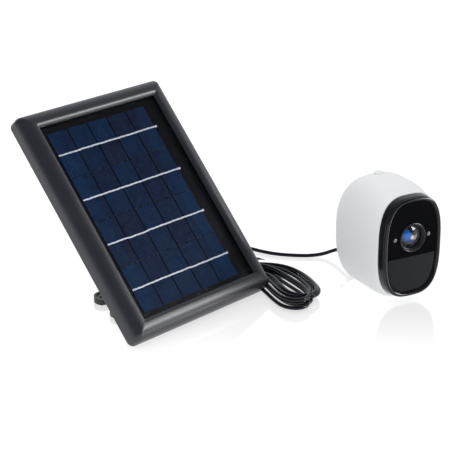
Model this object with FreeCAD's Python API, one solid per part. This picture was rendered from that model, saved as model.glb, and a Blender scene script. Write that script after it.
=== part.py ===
"""Solar-powered security camera: charging panel on a folding stand, camera, and the lead between them.

Millimetres, +Z up, the floor at Z = 0. The panel's width runs along X and its glass faces -Y and up.
Places on the floor are measured from the panel's lower left corner. ORIGIN is the middle of the
footprint in that measure, and every place is brought to it. Each piece is one node in parts/.
"""

import FreeCAD
import Part

import math
import os

from FreeCAD import Placement, Rotation, Vector

X_AXIS = Vector(1, 0, 0)
Y_AXIS = Vector(0, 1, 0)
Z_AXIS = Vector(0, 0, 1)

# ---------------------------------------------------------------- driving dimensions
ORIGIN = Vector(108.75, 11.18, 0)

# Solar panel, lying flat: x along the width, y up the glass, z out of the back plane at 0.
PANEL_W = 127.0
PANEL_H = 165.0
PANEL_TILT = 48.4            # slope of the glass above the floor, degrees
PANEL_CORNER_R = 4.5
RAIL_W = 12.0                # rail from the outside to the clear glass
CREST_Z = 14.5
GLASS_TOP = 11.8
GLASS_T = 2.0
GLASS_INSET = 9.0            # from the outside of the rail to the edge of the glass
CELL_T = 0.3
RIBBON_T = 0.12
SHEET_T = 1.4
COVER_INSET = 4.8
COVER_T = 2.3
EDGE = 1.0                   # rounded edge of the frame at the back
SCREW_INSET = 7.2
SCREW_R = 1.0
RUNNING = 0.05               # radial clearance of every pin that turns
FIT = 0.15                   # gap round a piece that drops into a recess

# Cells: four strips of five, a ribbon along the middle of each strip.
STRIPS = 4
COLUMNS = 5
STRIP_PITCH = 33.3
CELL_PITCH = 17.6
CELL_GAP = 0.5
CELLS_X = -3.2               # the middle of the cells, left of the panel's middle
CELLS_Y = -0.6
RIBBON_W = 1.5
RIBBON_OVERHANG = 0.6

# Stand.
FOOT_X = PANEL_W / 2
FOOT_Y = 47.5
FOOT_TURN = -18.0            # the foot plate is turned on its rivet, degrees
FOOT_T = 4.0
EAR_X = 28.0
EAR_Y = 12.5
EAR_R = 8.5
SLOT_W = 4.4
SLOT_L = 11.0
HOLE_PCD = 33.0
HOLE_R = 2.1
FOOT_PIVOT_Z = 16.0
PANEL_PIVOT = 16.0           # upper pivot, behind the panel's back plane
ARM_T = 8.0
ARM_W = 10.0
KNUCKLE_R = 7.0
EAR_T = 4.0
EAR_GAP = 0.15
BOLT_R = 2.0
KNOB_R = 7.5
KNOB_L = 8.0
STUD_R = 3.1

# Camera, standing: x across, y from the face (-y) to the back (+y), z up.
CAMERA_X = 189.3
CAMERA_Y = -49.8
CAMERA_TURN = -18.0
CAMERA_W = 48.6
CAMERA_H = 79.3
CAMERA_D = 70.5
BACK_Y = CAMERA_D / 2
FRONT_Y = -CAMERA_D / 2
SHELL_FRONT_Y = -27.5
WALL = 2.2
FOOT_FLAT = 0.25             # how much is ground flat off the rounded underside
FACE_Z = 39.6
SQUARENESS = 3.0             # exponent of the rounded sections
GLASS_HALF_X = 19.6
GLASS_HALF_Z = 31.8
LENS_Z = 46.35
LENS_R = 10.2
WINDOW_TOP = 32.75
PORT_Z = 10.0
PORT_Y = 27.5                # floor of the pocket round the charging socket
DISH_Z = 35.0

# Lead.
LEAD_R = 1.3
HANK_LOW = 0.0
HANK_HIGH = 8.6
PLUG_L = 7.5
RELIEF_L = 5.0

TILT_SIN = math.sin(math.radians(PANEL_TILT))
TILT_COS = math.cos(math.radians(PANEL_TILT))
PANEL_MIDDLE = Vector(
    PANEL_W / 2,
    TILT_COS * PANEL_H / 2 + 3.2,
    TILT_SIN * (PANEL_H / 2 - EDGE) - TILT_COS * EDGE + EDGE,
)
PANEL_PLACE = Placement(PANEL_MIDDLE - ORIGIN, Rotation(X_AXIS, PANEL_TILT))
CAMERA_PLACE = Placement(Vector(CAMERA_X, CAMERA_Y, -FOOT_FLAT) - ORIGIN, Rotation(Z_AXIS, CAMERA_TURN))
FOOT_PLACE = Placement(Vector(FOOT_X, FOOT_Y, 0) - ORIGIN, Rotation(Z_AXIS, FOOT_TURN))


# ---------------------------------------------------------------- small helpers
def block(low, high):
    """A box between two corners."""
    size = Vector(*high) - Vector(*low)
    return Part.makeBox(size.x, size.y, size.z, Vector(*low))


def rod(radius, start, end):
    """A cylinder from one point to another."""
    along = Vector(*end) - Vector(*start)
    return Part.makeCylinder(radius, along.Length, Vector(*start), along)


def ring(outer, inner, start, end):
    """A tube from one point to another."""
    return rod(outer, start, end).cut(rod(inner, start, end))


def cone(r_start, r_end, start, end):
    """A cone from one point to another."""
    along = Vector(*end) - Vector(*start)
    return Part.makeCone(r_start, r_end, along.Length, Vector(*start), along)


def join(shapes):
    """One solid from touching shapes."""
    whole = shapes[0]
    for shape in shapes[1:]:
        whole = whole.fuse(shape)
    return whole.removeSplitter()


def group(shapes):
    """Separate solids kept in one node."""
    return Part.makeCompound(shapes)


def rounded_plate(half_x, half_y, radius, z_low, z_high):
    """A plate with rounded corners, centred on the z axis."""
    plate = block((-half_x, -half_y, z_low), (half_x, half_y, z_high))
    upright = [e for e in plate.Edges if abs(e.Vertexes[0].Z - e.Vertexes[1].Z) > (z_high - z_low) / 2]
    return plate.makeFillet(radius, upright)


def slot_prism(half_width, length, z_low, z_high):
    """An oblong prism along x, of a full length measured end to end."""
    reach = length / 2 - half_width
    return join([
        block((-reach, -half_width, z_low), (reach, half_width, z_high)),
        rod(half_width, (-reach, 0, z_low), (-reach, 0, z_high)),
        rod(half_width, (reach, 0, z_low), (reach, 0, z_high)),
    ])


def moved(shape, x=0, y=0, z=0, turn=0.0, axis=Z_AXIS):
    """A copy of a shape, turned about an axis through the origin and then shifted."""
    copy = shape.copy()
    copy.Placement = Placement(Vector(x, y, z), Rotation(axis, turn)).multiply(copy.Placement)
    return copy


def placed(shape, placement):
    """A copy of a shape carried from its own frame to the whole object's."""
    copy = shape.copy()
    copy.Placement = placement.multiply(copy.Placement)
    return copy


# ---------------------------------------------------------------- solar panel
def rail_profile():
    """Section of a frame rail: d inwards from the outside, z out of the back. Points and arcs."""
    turned = EDGE * (1 - math.sqrt(0.5))
    shoulder = (0.0, 5.0)
    crest = (8.2, CREST_Z)
    lip = (RAIL_W - 0.3, 12.9)

    def at(point):
        return Vector(point[0], 0, point[1])

    edges = [
        Part.Arc(at((EDGE, 0)), at((turned, turned)), at((0, EDGE))).toShape(),
        Part.LineSegment(at((0, EDGE)), at(shoulder)).toShape(),
        Part.Arc(at(shoulder), at((2.1, 11.7)), at(crest)).toShape(),
        Part.Arc(at(crest), at((10.3, 14.2)), at(lip)).toShape(),
    ]
    corners = [
        lip, (RAIL_W, 12.5), (RAIL_W, GLASS_TOP), (GLASS_INSET, GLASS_TOP),
        (GLASS_INSET, COVER_T + 0.2), (COVER_INSET, COVER_T + 0.2), (COVER_INSET, 0), (EDGE, 0),
    ]
    for start, end in zip(corners, corners[1:]):
        edges.append(Part.LineSegment(at(start), at(end)).toShape())
    return Part.Face(Part.Wire(edges))


def mitred_rail(half_long, half_across):
    """One rail along y at x = -half_across, with both ends cut at 45 degrees."""
    face = rail_profile()
    face.translate(Vector(-half_across, -half_long, 0))
    bar = face.extrude(Vector(0, 2 * half_long, 0))
    reach = RAIL_W + 1
    outline = [
        Vector(-half_across, -half_long, -1),
        Vector(-half_across + reach, -half_long + reach, -1),
        Vector(-half_across + reach, half_long - reach, -1),
        Vector(-half_across, half_long, -1),
    ]
    wedge = Part.Face(Part.makePolygon(outline + outline[:1])).extrude(Vector(0, 0, CREST_Z + 2))
    return bar.common(wedge)


def screw_places():
    """Where the back cover's screws go."""
    x = PANEL_W / 2 - SCREW_INSET
    y = PANEL_H / 2 - SCREW_INSET
    return [(sx * x, sy * y) for sx in (-1, 1) for sy in (-1, 0, 1)]


def panel_frame():
    """The moulded frame: four mitred rails in one piece, with blind screw holes behind."""
    half_x = PANEL_W / 2
    half_y = PANEL_H / 2
    side = mitred_rail(half_y, half_x)
    end = moved(mitred_rail(half_x, half_y), turn=90)
    whole = join([side, moved(side, turn=180), end, moved(end, turn=180)])
    whole = whole.common(rounded_plate(half_x, half_y, PANEL_CORNER_R, -1, CREST_Z + 1))
    for x, y in screw_places():
        whole = whole.cut(rod(SCREW_R + RUNNING, (x, y, 1), (x, y, 8)))
    return whole


def glass_cover():
    """The toughened glass under the frame's lip."""
    return rounded_plate(PANEL_W / 2 - GLASS_INSET - FIT, PANEL_H / 2 - GLASS_INSET - FIT, 2.0,
                         GLASS_TOP - GLASS_T, GLASS_TOP)


CELL_TOP = GLASS_TOP - GLASS_T - RIBBON_T


def cell_grid():
    """Middles of the cell pieces, column by column in each strip."""
    places = []
    for strip in range(STRIPS):
        y = CELLS_Y + (strip - (STRIPS - 1) / 2) * STRIP_PITCH
        for column in range(COLUMNS):
            x = CELLS_X + (column - (COLUMNS - 1) / 2) * CELL_PITCH
            places.append((x, y))
    return places


def solar_cells():
    """Twenty thin cell pieces, each a separate solid."""
    half_x = (CELL_PITCH - CELL_GAP) / 2
    half_y = (STRIP_PITCH - CELL_GAP) / 2
    low = CELL_TOP - CELL_T
    return group([block((x - half_x, y - half_y, low), (x + half_x, y + half_y, CELL_TOP))
                  for x, y in cell_grid()])


def busbars():
    """One bright ribbon along the middle of each strip."""
    half_x = COLUMNS * CELL_PITCH / 2 + RIBBON_OVERHANG
    ribbons = []
    for strip in range(STRIPS):
        y = CELLS_Y + (strip - (STRIPS - 1) / 2) * STRIP_PITCH
        ribbons.append(block((CELLS_X - half_x, y - RIBBON_W / 2, CELL_TOP),
                             (CELLS_X + half_x, y + RIBBON_W / 2, CELL_TOP + RIBBON_T)))
    return group(ribbons)


SHEET_TOP = CELL_TOP - CELL_T
SHEET_LOW = SHEET_TOP - SHEET_T


def cell_backsheet():
    """The black laminate under the cells."""
    return rounded_plate(PANEL_W / 2 - GLASS_INSET - FIT, PANEL_H / 2 - GLASS_INSET - FIT, 2.0,
                         SHEET_LOW, SHEET_TOP)


GASKET_T = 1.0
RIM_W = 3.5


def rim_frame(z_low, z_high, width=RIM_W):
    """A rectangular ring under the edge of the laminate."""
    half_x = PANEL_W / 2 - GLASS_INSET - FIT
    half_y = PANEL_H / 2 - GLASS_INSET - FIT
    outer = block((-half_x, -half_y, z_low), (half_x, half_y, z_high))
    inner = block((-half_x + width, -half_y + width, z_low), (half_x - width, half_y - width, z_high))
    return outer.cut(inner)


def panel_gasket():
    """The rubber seal between the laminate and the back cover's rim."""
    return rim_frame(SHEET_LOW - GASKET_T, SHEET_LOW)


GLAND_X = 47.0
GLAND_Y = -52.0
GLAND_R = 3.2
INSERT_R = 4.5
BOSS_T = 1.5
BOARD_X = 30.0
BOARD_Y = -40.0
BOARD_Z = 4.0


def board_posts():
    """Places of the charge board's four posts."""
    return [(BOARD_X + sx * 12, BOARD_Y + sy * 6) for sx in (-1, 1) for sy in (-1, 1)]


def panel_back_cover():
    """The rear shell: plate, rim, ribs, the round boss of the stand and the board's posts."""
    half_x = PANEL_W / 2 - COVER_INSET - FIT
    half_y = PANEL_H / 2 - COVER_INSET - FIT
    plate = rounded_plate(half_x, half_y, 2.0, 0, COVER_T)
    rim = rim_frame(COVER_T - 0.1, SHEET_LOW - GASKET_T)
    boss = rod(13, (0, 0, -BOSS_T), (0, 0, 6.5))
    rib_x = block((-52, -0.7, COVER_T - 0.1), (52, 0.7, 5.5))
    rib_y = block((-0.7, -70, COVER_T - 0.1), (0.7, 70, 5.5))
    posts = [rod(1.6, (x, y, COVER_T - 0.1), (x, y, BOARD_Z)) for x, y in board_posts()]
    whole = join([plate, rim, boss, rib_x, rib_y] + posts)
    whole = whole.cut(rod(INSERT_R, (0, 0, -BOSS_T), (0, 0, 8)))
    whole = whole.cut(rod(GLAND_R, (GLAND_X, GLAND_Y, -1), (GLAND_X, GLAND_Y, COVER_T + 1)))
    for x, y in screw_places():
        whole = whole.cut(rod(SCREW_R + RUNNING, (x, y, -1), (x, y, COVER_T + 1)))
        whole = whole.cut(rod(2.0, (x, y, -1), (x, y, 1.3)))
    return whole


def panel_screws():
    """Six small pan-head screws, sunk in the back cover."""
    screws = []
    for x, y in screw_places():
        head = rod(1.85, (x, y, 0.1), (x, y, 1.3))
        head = head.cut(block((x - 1.2, y - 0.2, -1), (x + 1.2, y + 0.2, 0.6)))
        head = head.cut(block((x - 0.2, y - 1.2, -1), (x + 0.2, y + 1.2, 0.6)))
        screws.append(join([head, rod(SCREW_R, (x, y, 1.3), (x, y, 7.5))]))
    return group(screws)


def charge_board():
    """The regulator board with its inductor and chips."""
    low = BOARD_Z
    plate = block((BOARD_X - 15, BOARD_Y - 9, low), (BOARD_X + 15, BOARD_Y + 9, low + 1.0))
    coil = rod(3, (BOARD_X - 6, BOARD_Y, low + 1), (BOARD_X - 6, BOARD_Y, low + 2.2))
    chip = block((BOARD_X + 2, BOARD_Y - 3, low + 1), (BOARD_X + 8, BOARD_Y + 3, low + 2.0))
    return join([plate, coil, chip])


def stand_insert():
    """The brass insert that takes the stand's stud."""
    return ring(INSERT_R, STUD_R + RUNNING, (0, 0, -BOSS_T), (0, 0, 6.5))


GLAND_TIP = 11.0


def lead_gland():
    """The gland: a plug in the cover, a flange and a tapered nose pointing out of the back."""
    x = GLAND_X
    y = GLAND_Y
    return join([
        rod(GLAND_R - RUNNING, (x, y, 0), (x, y, COVER_T + 1.5)),
        rod(4.6, (x, y, -1.6), (x, y, 0)),
        cone(3.4, 1.9, (x, y, -1.6), (x, y, -GLAND_TIP)),
        rod(3.7, (x, y, COVER_T), (x, y, COVER_T + 1.0)),
    ])


# ---------------------------------------------------------------- stand
def clevis_ears(z_base, z_pivot):
    """Two rounded ears along z with a cross hole for the bolt, pivot at x axis, height z_pivot."""
    ears = []
    toward = 1 if z_pivot > z_base else -1
    for side in (-1, 1):
        near = side * (ARM_T / 2 + EAR_GAP)
        far = side * (ARM_T / 2 + EAR_GAP + EAR_T)
        low_x, high_x = sorted((near, far))
        low_z, high_z = sorted((z_base - toward * 0.1, z_pivot))
        web = block((low_x, -KNUCKLE_R, low_z), (high_x, KNUCKLE_R, high_z))
        ears.append(web.fuse(rod(KNUCKLE_R, (low_x, 0, z_pivot), (high_x, 0, z_pivot))))
    return ears


def cross_hole(z):
    """The bolt's hole through both ears."""
    return rod(BOLT_R + RUNNING, (-20, 0, z), (20, 0, z))


CLEVIS_BASE = 7.0
NUT_LOW = BOSS_T
NUT_T = 2.6
BASE_R = 9.0


def panel_clevis():
    """Base, ears and stud in one casting, screwed into the panel's back (z is out of the glass)."""
    base = rod(BASE_R, (0, 0, -CLEVIS_BASE), (0, 0, -NUT_LOW - NUT_T))
    stud = rod(STUD_R, (0, 0, -CLEVIS_BASE), (0, 0, 5.5))
    return join([base, stud] + clevis_ears(-CLEVIS_BASE, -PANEL_PIVOT)).cut(cross_hole(-PANEL_PIVOT))


def lock_nut():
    """The hexagon nut that locks the stud."""
    flat_r = 5.5 / math.cos(math.radians(30))
    points = [Vector(flat_r * math.cos(math.radians(a)), flat_r * math.sin(math.radians(a)), -NUT_LOW - NUT_T)
              for a in range(0, 361, 60)]
    nut = Part.Face(Part.makePolygon(points)).extrude(Vector(0, 0, NUT_T))
    return nut.cut(rod(STUD_R + RUNNING, (0, 0, -9), (0, 0, 1)))


PIVOT_UP = Vector(FOOT_X, 0, 0) + Vector(
    0,
    PANEL_MIDDLE.y + PANEL_PIVOT * TILT_SIN,
    PANEL_MIDDLE.z - PANEL_PIVOT * TILT_COS,
)
PIVOT_LOW = Vector(FOOT_X, FOOT_Y, FOOT_PIVOT_Z)


def link_arm():
    """A flat bar between the two pivots, standing on its own z axis and then leaned over."""
    along = PIVOT_UP - PIVOT_LOW
    length = along.Length
    half = ARM_T / 2
    bar = block((-half, -ARM_W / 2, 0), (half, ARM_W / 2, length))
    ends = [rod(KNUCKLE_R - 0.5, (-half, 0, z), (half, 0, z)) for z in (0, length)]
    holes = [rod(BOLT_R + RUNNING, (-half - 1, 0, z), (half + 1, 0, z)) for z in (0, length)]
    dimple = 1.2
    panels = [block((side * half - dimple if side > 0 else -half, -2.8, 11),
                    (side * half if side > 0 else -half + dimple, 2.8, length - 11))
              for side in (-1, 1)]
    arm = join([bar] + ends)
    for cutter in holes + panels:
        arm = arm.cut(cutter)
    lean = -math.degrees(math.atan2(along.y, along.z))
    return placed(arm, Placement(PIVOT_LOW - ORIGIN, Rotation(X_AXIS, lean)))


BOLT_HEAD_R = 3.6
BOLT_HEAD_L = 2.6
KNOB_NEAR = ARM_T / 2 + EAR_GAP + EAR_T + 0.1


def hinge_bolt():
    """A bolt along x through both ears, with a round head on the left."""
    outside = ARM_T / 2 + EAR_GAP + EAR_T
    shank = rod(BOLT_R, (-outside, 0, 0), (KNOB_NEAR + KNOB_L - 1.5, 0, 0))
    head = rod(BOLT_HEAD_R, (-outside - BOLT_HEAD_L, 0, 0), (-outside, 0, 0))
    socket = rod(1.5, (-outside - BOLT_HEAD_L, 0, 0), (-outside - 0.8, 0, 0))
    return join([head, shank]).cut(socket)


def clamp_knob():
    """A fluted thumb knob on the bolt's free end."""
    knob = rod(KNOB_R, (KNOB_NEAR, 0, 0), (KNOB_NEAR + KNOB_L, 0, 0))
    flutes = 8
    for turn in range(flutes):
        angle = 2 * math.pi * turn / flutes
        y = (KNOB_R + 0.9) * math.cos(angle)
        z = (KNOB_R + 0.9) * math.sin(angle)
        knob = knob.cut(rod(1.9, (KNOB_NEAR + 1.6, y, z), (KNOB_NEAR + KNOB_L, y, z)))
    return knob.cut(rod(BOLT_R + RUNNING, (KNOB_NEAR - 1, 0, 0), (KNOB_NEAR + KNOB_L - 1.2, 0, 0)))


def foot_clevis():
    """The clevis on the foot plate, in the plate's own frame but square to the panel."""
    base = rod(BASE_R, (0, 0, FOOT_T + 0.6), (0, 0, FOOT_T + 3.4))
    whole = join([base] + clevis_ears(FOOT_T + 3.4, FOOT_PIVOT_Z))
    whole = whole.cut(cross_hole(FOOT_PIVOT_Z))
    return whole.cut(rod(3.0, (0, 0, 0), (0, 0, FOOT_T + 2.6)))


def swivel_rivet():
    """The rivet that holds the clevis to the plate and lets it turn."""
    head = rod(5.5, (0, 0, 0.5), (0, 0, 1.9))
    shank = rod(2.98, (0, 0, 1.9), (0, 0, FOOT_T + 2.6))
    return join([head, shank])


def swivel_washer():
    """The friction washer between the plate and the clevis."""
    return ring(8.5, 3.2, (0, 0, FOOT_T), (0, 0, FOOT_T + 0.6))


def plate_outline(inset, z_low, z_high):
    """The foot plate's prism: a waist and four round ears, drawn in by an inset."""
    radius = EAR_R - inset
    middle = block((-EAR_X, -EAR_Y - radius, z_low), (EAR_X, EAR_Y + radius, z_high))
    ears = [rod(radius, (sx * EAR_X, sy * EAR_Y, z_low), (sx * EAR_X, sy * EAR_Y, z_high))
            for sx in (-1, 1) for sy in (-1, 1)]
    notch_x = EAR_X + 5.0
    notches = [rod(6.5 + inset, (s * notch_x, 0, z_low - 1), (s * notch_x, 0, z_high + 1))
               for s in (-1, 1)]
    whole = join([middle] + ears)
    for notch in notches:
        whole = whole.cut(notch)
    return whole


def foot_plate():
    """The lobed foot plate: raised rim, slotted ears, four screw holes and the rivet's hole."""
    plate = plate_outline(0, 0, FOOT_T)
    rim = 1.6
    sunk = 0.8
    plate = plate.cut(plate_outline(rim, FOOT_T - sunk, FOOT_T + 1))
    plate = join([plate, rod(10.0, (0, 0, FOOT_T - sunk - 0.1), (0, 0, FOOT_T))])
    for sx in (-1, 1):
        for sy in (-1, 1):
            slot = slot_prism(SLOT_W / 2, SLOT_L, -1, FOOT_T + 1)
            plate = plate.cut(moved(slot, sx * (EAR_X - 0.5), sy * EAR_Y))
    for quarter in range(4):
        angle = math.radians(45 + 90 * quarter)
        x = HOLE_PCD / 2 * math.cos(angle)
        y = HOLE_PCD / 2 * math.sin(angle)
        plate = plate.cut(rod(HOLE_R, (x, y, -1), (x, y, FOOT_T + 1)))
    plate = plate.cut(rod(2.98 + RUNNING, (0, 0, -1), (0, 0, FOOT_T + 1)))
    return plate.cut(rod(5.9, (0, 0, -1), (0, 0, 2.0)))


# ---------------------------------------------------------------- camera shell
def quarter(way, length, height):
    """How far a quarter ellipse has turned in after going some way along its length."""
    if way <= 0:
        return 0.0
    share = min(way / length, 1.0)
    return height * (1 - math.sqrt(1 - share * share))


def eased(way, length, height):
    """How far a gentle parabola has turned in after going some way along its length."""
    return height * (max(way, 0.0) / length) ** 2


def section_size(y, inset):
    """Half width, bottom and top of the shell's section at depth y, drawn in by an inset."""
    half = (CAMERA_W / 2 - inset - quarter(y - 8, BACK_Y - 8 - inset, 13 - inset)
            - eased(-10 - y, 17.5, 0.9))
    low = inset + quarter(y - 14, BACK_Y - 14 - inset, 28 - inset) + eased(-16 - y, 11.5, 3.9)
    high = (CAMERA_H - inset - quarter(y - 3, BACK_Y - 3 - inset, 38 - inset)
            - eased(-8 - y, 19.5, 4.0))
    return half, low, high


def oval(y, half_x, low, high, exponent=SQUARENESS):
    """A closed superellipse wire in the plane at depth y."""
    steps = 28
    half_z = (high - low) / 2
    middle = (high + low) / 2
    points = []
    for step in range(steps):
        angle = 2 * math.pi * step / steps
        c = math.cos(angle)
        s = math.sin(angle)
        x = half_x * math.copysign(abs(c) ** (2 / exponent), c)
        z = half_z * math.copysign(abs(s) ** (2 / exponent), s)
        points.append(Vector(x, y, middle + z))
    curve = Part.BSplineCurve()
    curve.interpolate(points, PeriodicFlag=True)
    return Part.Wire(curve.toShape())


def barrel(inset, y_start):
    """The shell's outer body, or its hollow when drawn in by an inset."""
    back = BACK_Y - inset
    lead_in = [y_start, -20, -12, -5]
    turns = [3 + (back - 3) * math.sin(math.radians(a)) for a in (0, 12, 24, 36, 47, 57, 66, 74, LAST_TURN)]
    wires = [oval(y, *section_size(y, inset)) for y in lead_in + turns]
    return Part.makeLoft(wires, True, False)


def oval_prism(half_x, low, high, y_front, y_back):
    """A straight prism with a rounded section, from one depth to another."""
    face = Part.Face(oval(y_front, half_x, low, high))
    return face.extrude(Vector(0, y_back - y_front, 0))


DOOR_Y = (-13.0, 19.0)
DOOR_Z = (24.0, 55.0)
DOOR_GAP = 0.3
HINGE_X = 20.5
HINGE_R = 2.7
HINGE_ROOM = 3.4             # the shell keeps this far from the hinge's axis
PIN_R = 0.75
LEDGE_X = (16.4, 18.0)       # the ledge behind the door that the seal meets
LAST_TURN = 82.0             # the back is flat where the sections have turned this far
BACK_FLAT = 3 + (BACK_Y - 3) * math.sin(math.radians(LAST_TURN))
DISH_SPHERE_R = 20.0
DISH_DEPTH = 3.3
BUTTON_Y = 8.0
BUTTON_R = 3.5
BUTTON_PROUD = 0.9
SWITCH_DROP = 9.2            # from the shell's top to the switch's board
INSERT_Z = 8.0
INSERT_Y = -6.0
LUG_X = 15.4                 # the bezel's screws, from the middle of the face
LUG_Z = 23.2
FLAP_Y = 34.4
FLAP_Z = 15.9
TRIPOD_OUTER_R = 5.0
TRIPOD_R = 2.65
SOCKET_HALF_X = 4.2
SOCKET_HALF_Z = 1.9
PIN_HOLD = 1.8               # the hinge pin's ends past the door
SPEAKER_Y = 9.0
SPEAKER_SLOTS = 5
PAD_Z = (31.0, 48.0)         # the door's catch pads, from the base


def door_cutter(gap):
    """The space of the battery door in the shell's right wall."""
    return block((15, DOOR_Y[0] - gap, DOOR_Z[0] - gap), (30, DOOR_Y[1] + gap, DOOR_Z[1] + gap))


def hinge_rod(radius, gap):
    """The round barrel of the door's hinge, along z at the door's rear edge."""
    return rod(radius, (HINGE_X, DOOR_Y[1], DOOR_Z[0] - gap), (HINGE_X, DOOR_Y[1], DOOR_Z[1] + gap))


def dish_ball(radius):
    """The sphere that hollows the magnet dish in the back."""
    centre_y = BACK_FLAT + DISH_SPHERE_R - DISH_DEPTH
    return Part.makeSphere(radius, Vector(0, centre_y, DISH_Z))


def bay_frame():
    """Collar and ledge behind the door, and the tray under the pack."""
    front, rear = DOOR_Y[0] - 2.3, DOOR_Y[1] - 1.6
    low, high = DOOR_Z[0] - 2.0, DOOR_Z[1] + 2.0
    ledge = block((LEDGE_X[0], front, low), (LEDGE_X[1], rear, high))
    collars = [
        block((LEDGE_X[0], front, low), (24, DOOR_Y[0] - 0.6, high)),
        block((LEDGE_X[0], front, low), (24, rear, DOOR_Z[0] - 0.4)),
        block((LEDGE_X[0], front, DOOR_Z[1] + 0.4), (24, rear, high)),
    ]
    tray = block((BATTERY_X[0], BATTERY_Y[0], BATTERY_Z[0] - 1.6), (LEDGE_X[1], BATTERY_Y[1], BATTERY_Z[0] - 0.1))
    mouth = block((0, BATTERY_Y[0] - 0.6, BATTERY_Z[0] - 0.1), (LEDGE_X[1] + 1, BATTERY_Y[1] + 0.6, BATTERY_Z[1] + 0.6))
    return [ledge.cut(mouth), tray] + collars


def sleeve_lugs():
    """Places of the four screws between the shell and the bezel's sleeve."""
    return [(sx * LUG_X, FACE_Z + sz * LUG_Z) for sx in (-1, 1) for sz in (-1, 1)]


def camera_housing():
    """The white shell, open at the front, with the door's, button's and socket's openings."""
    outer = barrel(0, SHELL_FRONT_Y)
    hollow = barrel(WALL, SHELL_FRONT_Y - 1)
    top = section_size(BUTTON_Y, 0)[2]
    inside = [
        rod(13.5, (0, BACK_Y - 8, DISH_Z), (0, BACK_Y, DISH_Z)),
        block((-10, PORT_Y - 3, PORT_Z - 7), (10, BACK_Y, PORT_Z + 7)),
        rod(7, (0, INSERT_Y, 0), (0, INSERT_Y, 10)),
    ] + bay_frame()
    for x in (-7, 7):
        inside.append(rod(1.1, (x, BUTTON_Y, top - SWITCH_DROP), (x, BUTTON_Y, top - 1)))
    for x, z in sleeve_lugs():
        reach = math.copysign(24, x)
        low_x, high_x = sorted((x - math.copysign(2.4, x), reach))
        inside.append(block((low_x, -22.4, z - 2.6), (high_x, -20.4, z + 2.6)))
    whole = outer.cut(hollow)
    for piece in inside:
        whole = whole.fuse(piece.common(outer))
    whole = whole.cut(door_cutter(DOOR_GAP).cut(block((0, -30, 0), (LEDGE_X[1], 30, 80))))
    whole = whole.cut(hinge_rod(HINGE_ROOM, DOOR_GAP))
    whole = whole.cut(rod(PIN_R, (HINGE_X, DOOR_Y[1], DOOR_Z[0] - PIN_HOLD), (HINGE_X, DOOR_Y[1], DOOR_Z[1] + PIN_HOLD)))
    whole = whole.cut(dish_ball(DISH_SPHERE_R + 1.0 + RUNNING))
    whole = whole.cut(rod(BUTTON_R + 0.1, (0, BUTTON_Y, 70), (0, BUTTON_Y, 85)))
    whole = whole.cut(rod(TRIPOD_OUTER_R, (0, INSERT_Y, -1), (0, INSERT_Y, INSERT_Z)))
    for x, z in sleeve_lugs():
        whole = whole.cut(rod(1.0 + RUNNING, (x, -23, z), (x, -20, z)))
    whole = whole.cut(block((-30, -40, -5), (30, 40, FOOT_FLAT)))
    whole = whole.cut(block((-7, PORT_Y, PORT_Z - 4.2), (7, BACK_Y + 1, PORT_Z + 4.2)))
    whole = whole.cut(block((-SOCKET_HALF_X - FIT, PORT_Y - 8, PORT_Z - SOCKET_HALF_Z - FIT),
                            (SOCKET_HALF_X + FIT, PORT_Y + 1, PORT_Z + SOCKET_HALF_Z + FIT)))
    for slot in range(SPEAKER_SLOTS):
        y = SPEAKER_Y - 5.3 + 2.4 * slot
        whole = whole.cut(block((-5, y, -1), (5, y + 1.1, WALL + 1)))
    for side in (-1, 1):
        near, far = sorted((side * 6.9, side * 8.3))
        lug = block((near, FLAP_Y - 5, FLAP_Z - 1.1), (far, FLAP_Y + 1.1, FLAP_Z + 1.1))
        lug = lug.cut(rod(0.5 + RUNNING, (-9, FLAP_Y, FLAP_Z), (9, FLAP_Y, FLAP_Z)))
        whole = whole.fuse(lug.cut(hollow))
    return whole.removeSplitter()


def battery_door():
    """The door cut from the shell's right wall, with its hinge barrel and two catch pads."""
    outer = barrel(0, SHELL_FRONT_Y)
    skin = outer.cut(barrel(WALL, SHELL_FRONT_Y - 1)).common(door_cutter(0))
    front = skin.common(block((15, DOOR_Y[0] - 1, 0), (30, DOOR_Y[1], 80)))
    knuckle = hinge_rod(HINGE_R, 0).common(outer)
    whole = front.fuse(knuckle)
    for z in PAD_Z:
        pad = block((LEDGE_X[1] + 0.2, DOOR_Y[0] + 0.4, z - 3), (23, DOOR_Y[0] + 2.4, z + 3))
        whole = whole.fuse(pad.common(outer))
    pin_hole = rod(PIN_R + RUNNING, (HINGE_X, DOOR_Y[1], 0), (HINGE_X, DOOR_Y[1], 80))
    return whole.cut(pin_hole).removeSplitter()


def door_pin():
    """The steel pin of the door's hinge, held in the shell above and below."""
    return rod(PIN_R, (HINGE_X, DOOR_Y[1], DOOR_Z[0] - PIN_HOLD), (HINGE_X, DOOR_Y[1], DOOR_Z[1] + PIN_HOLD))


# ---------------------------------------------------------------- camera front
BEZEL_BACK_HALF = (23.0, 35.2)
BEZEL_FRONT_HALF = (22.2, 34.4)
LIP_HALF = (21.5, 33.7)
RIM_Y = FRONT_Y + 0.9
WINDOW_Y = (-33.3, -31.5)


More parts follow.
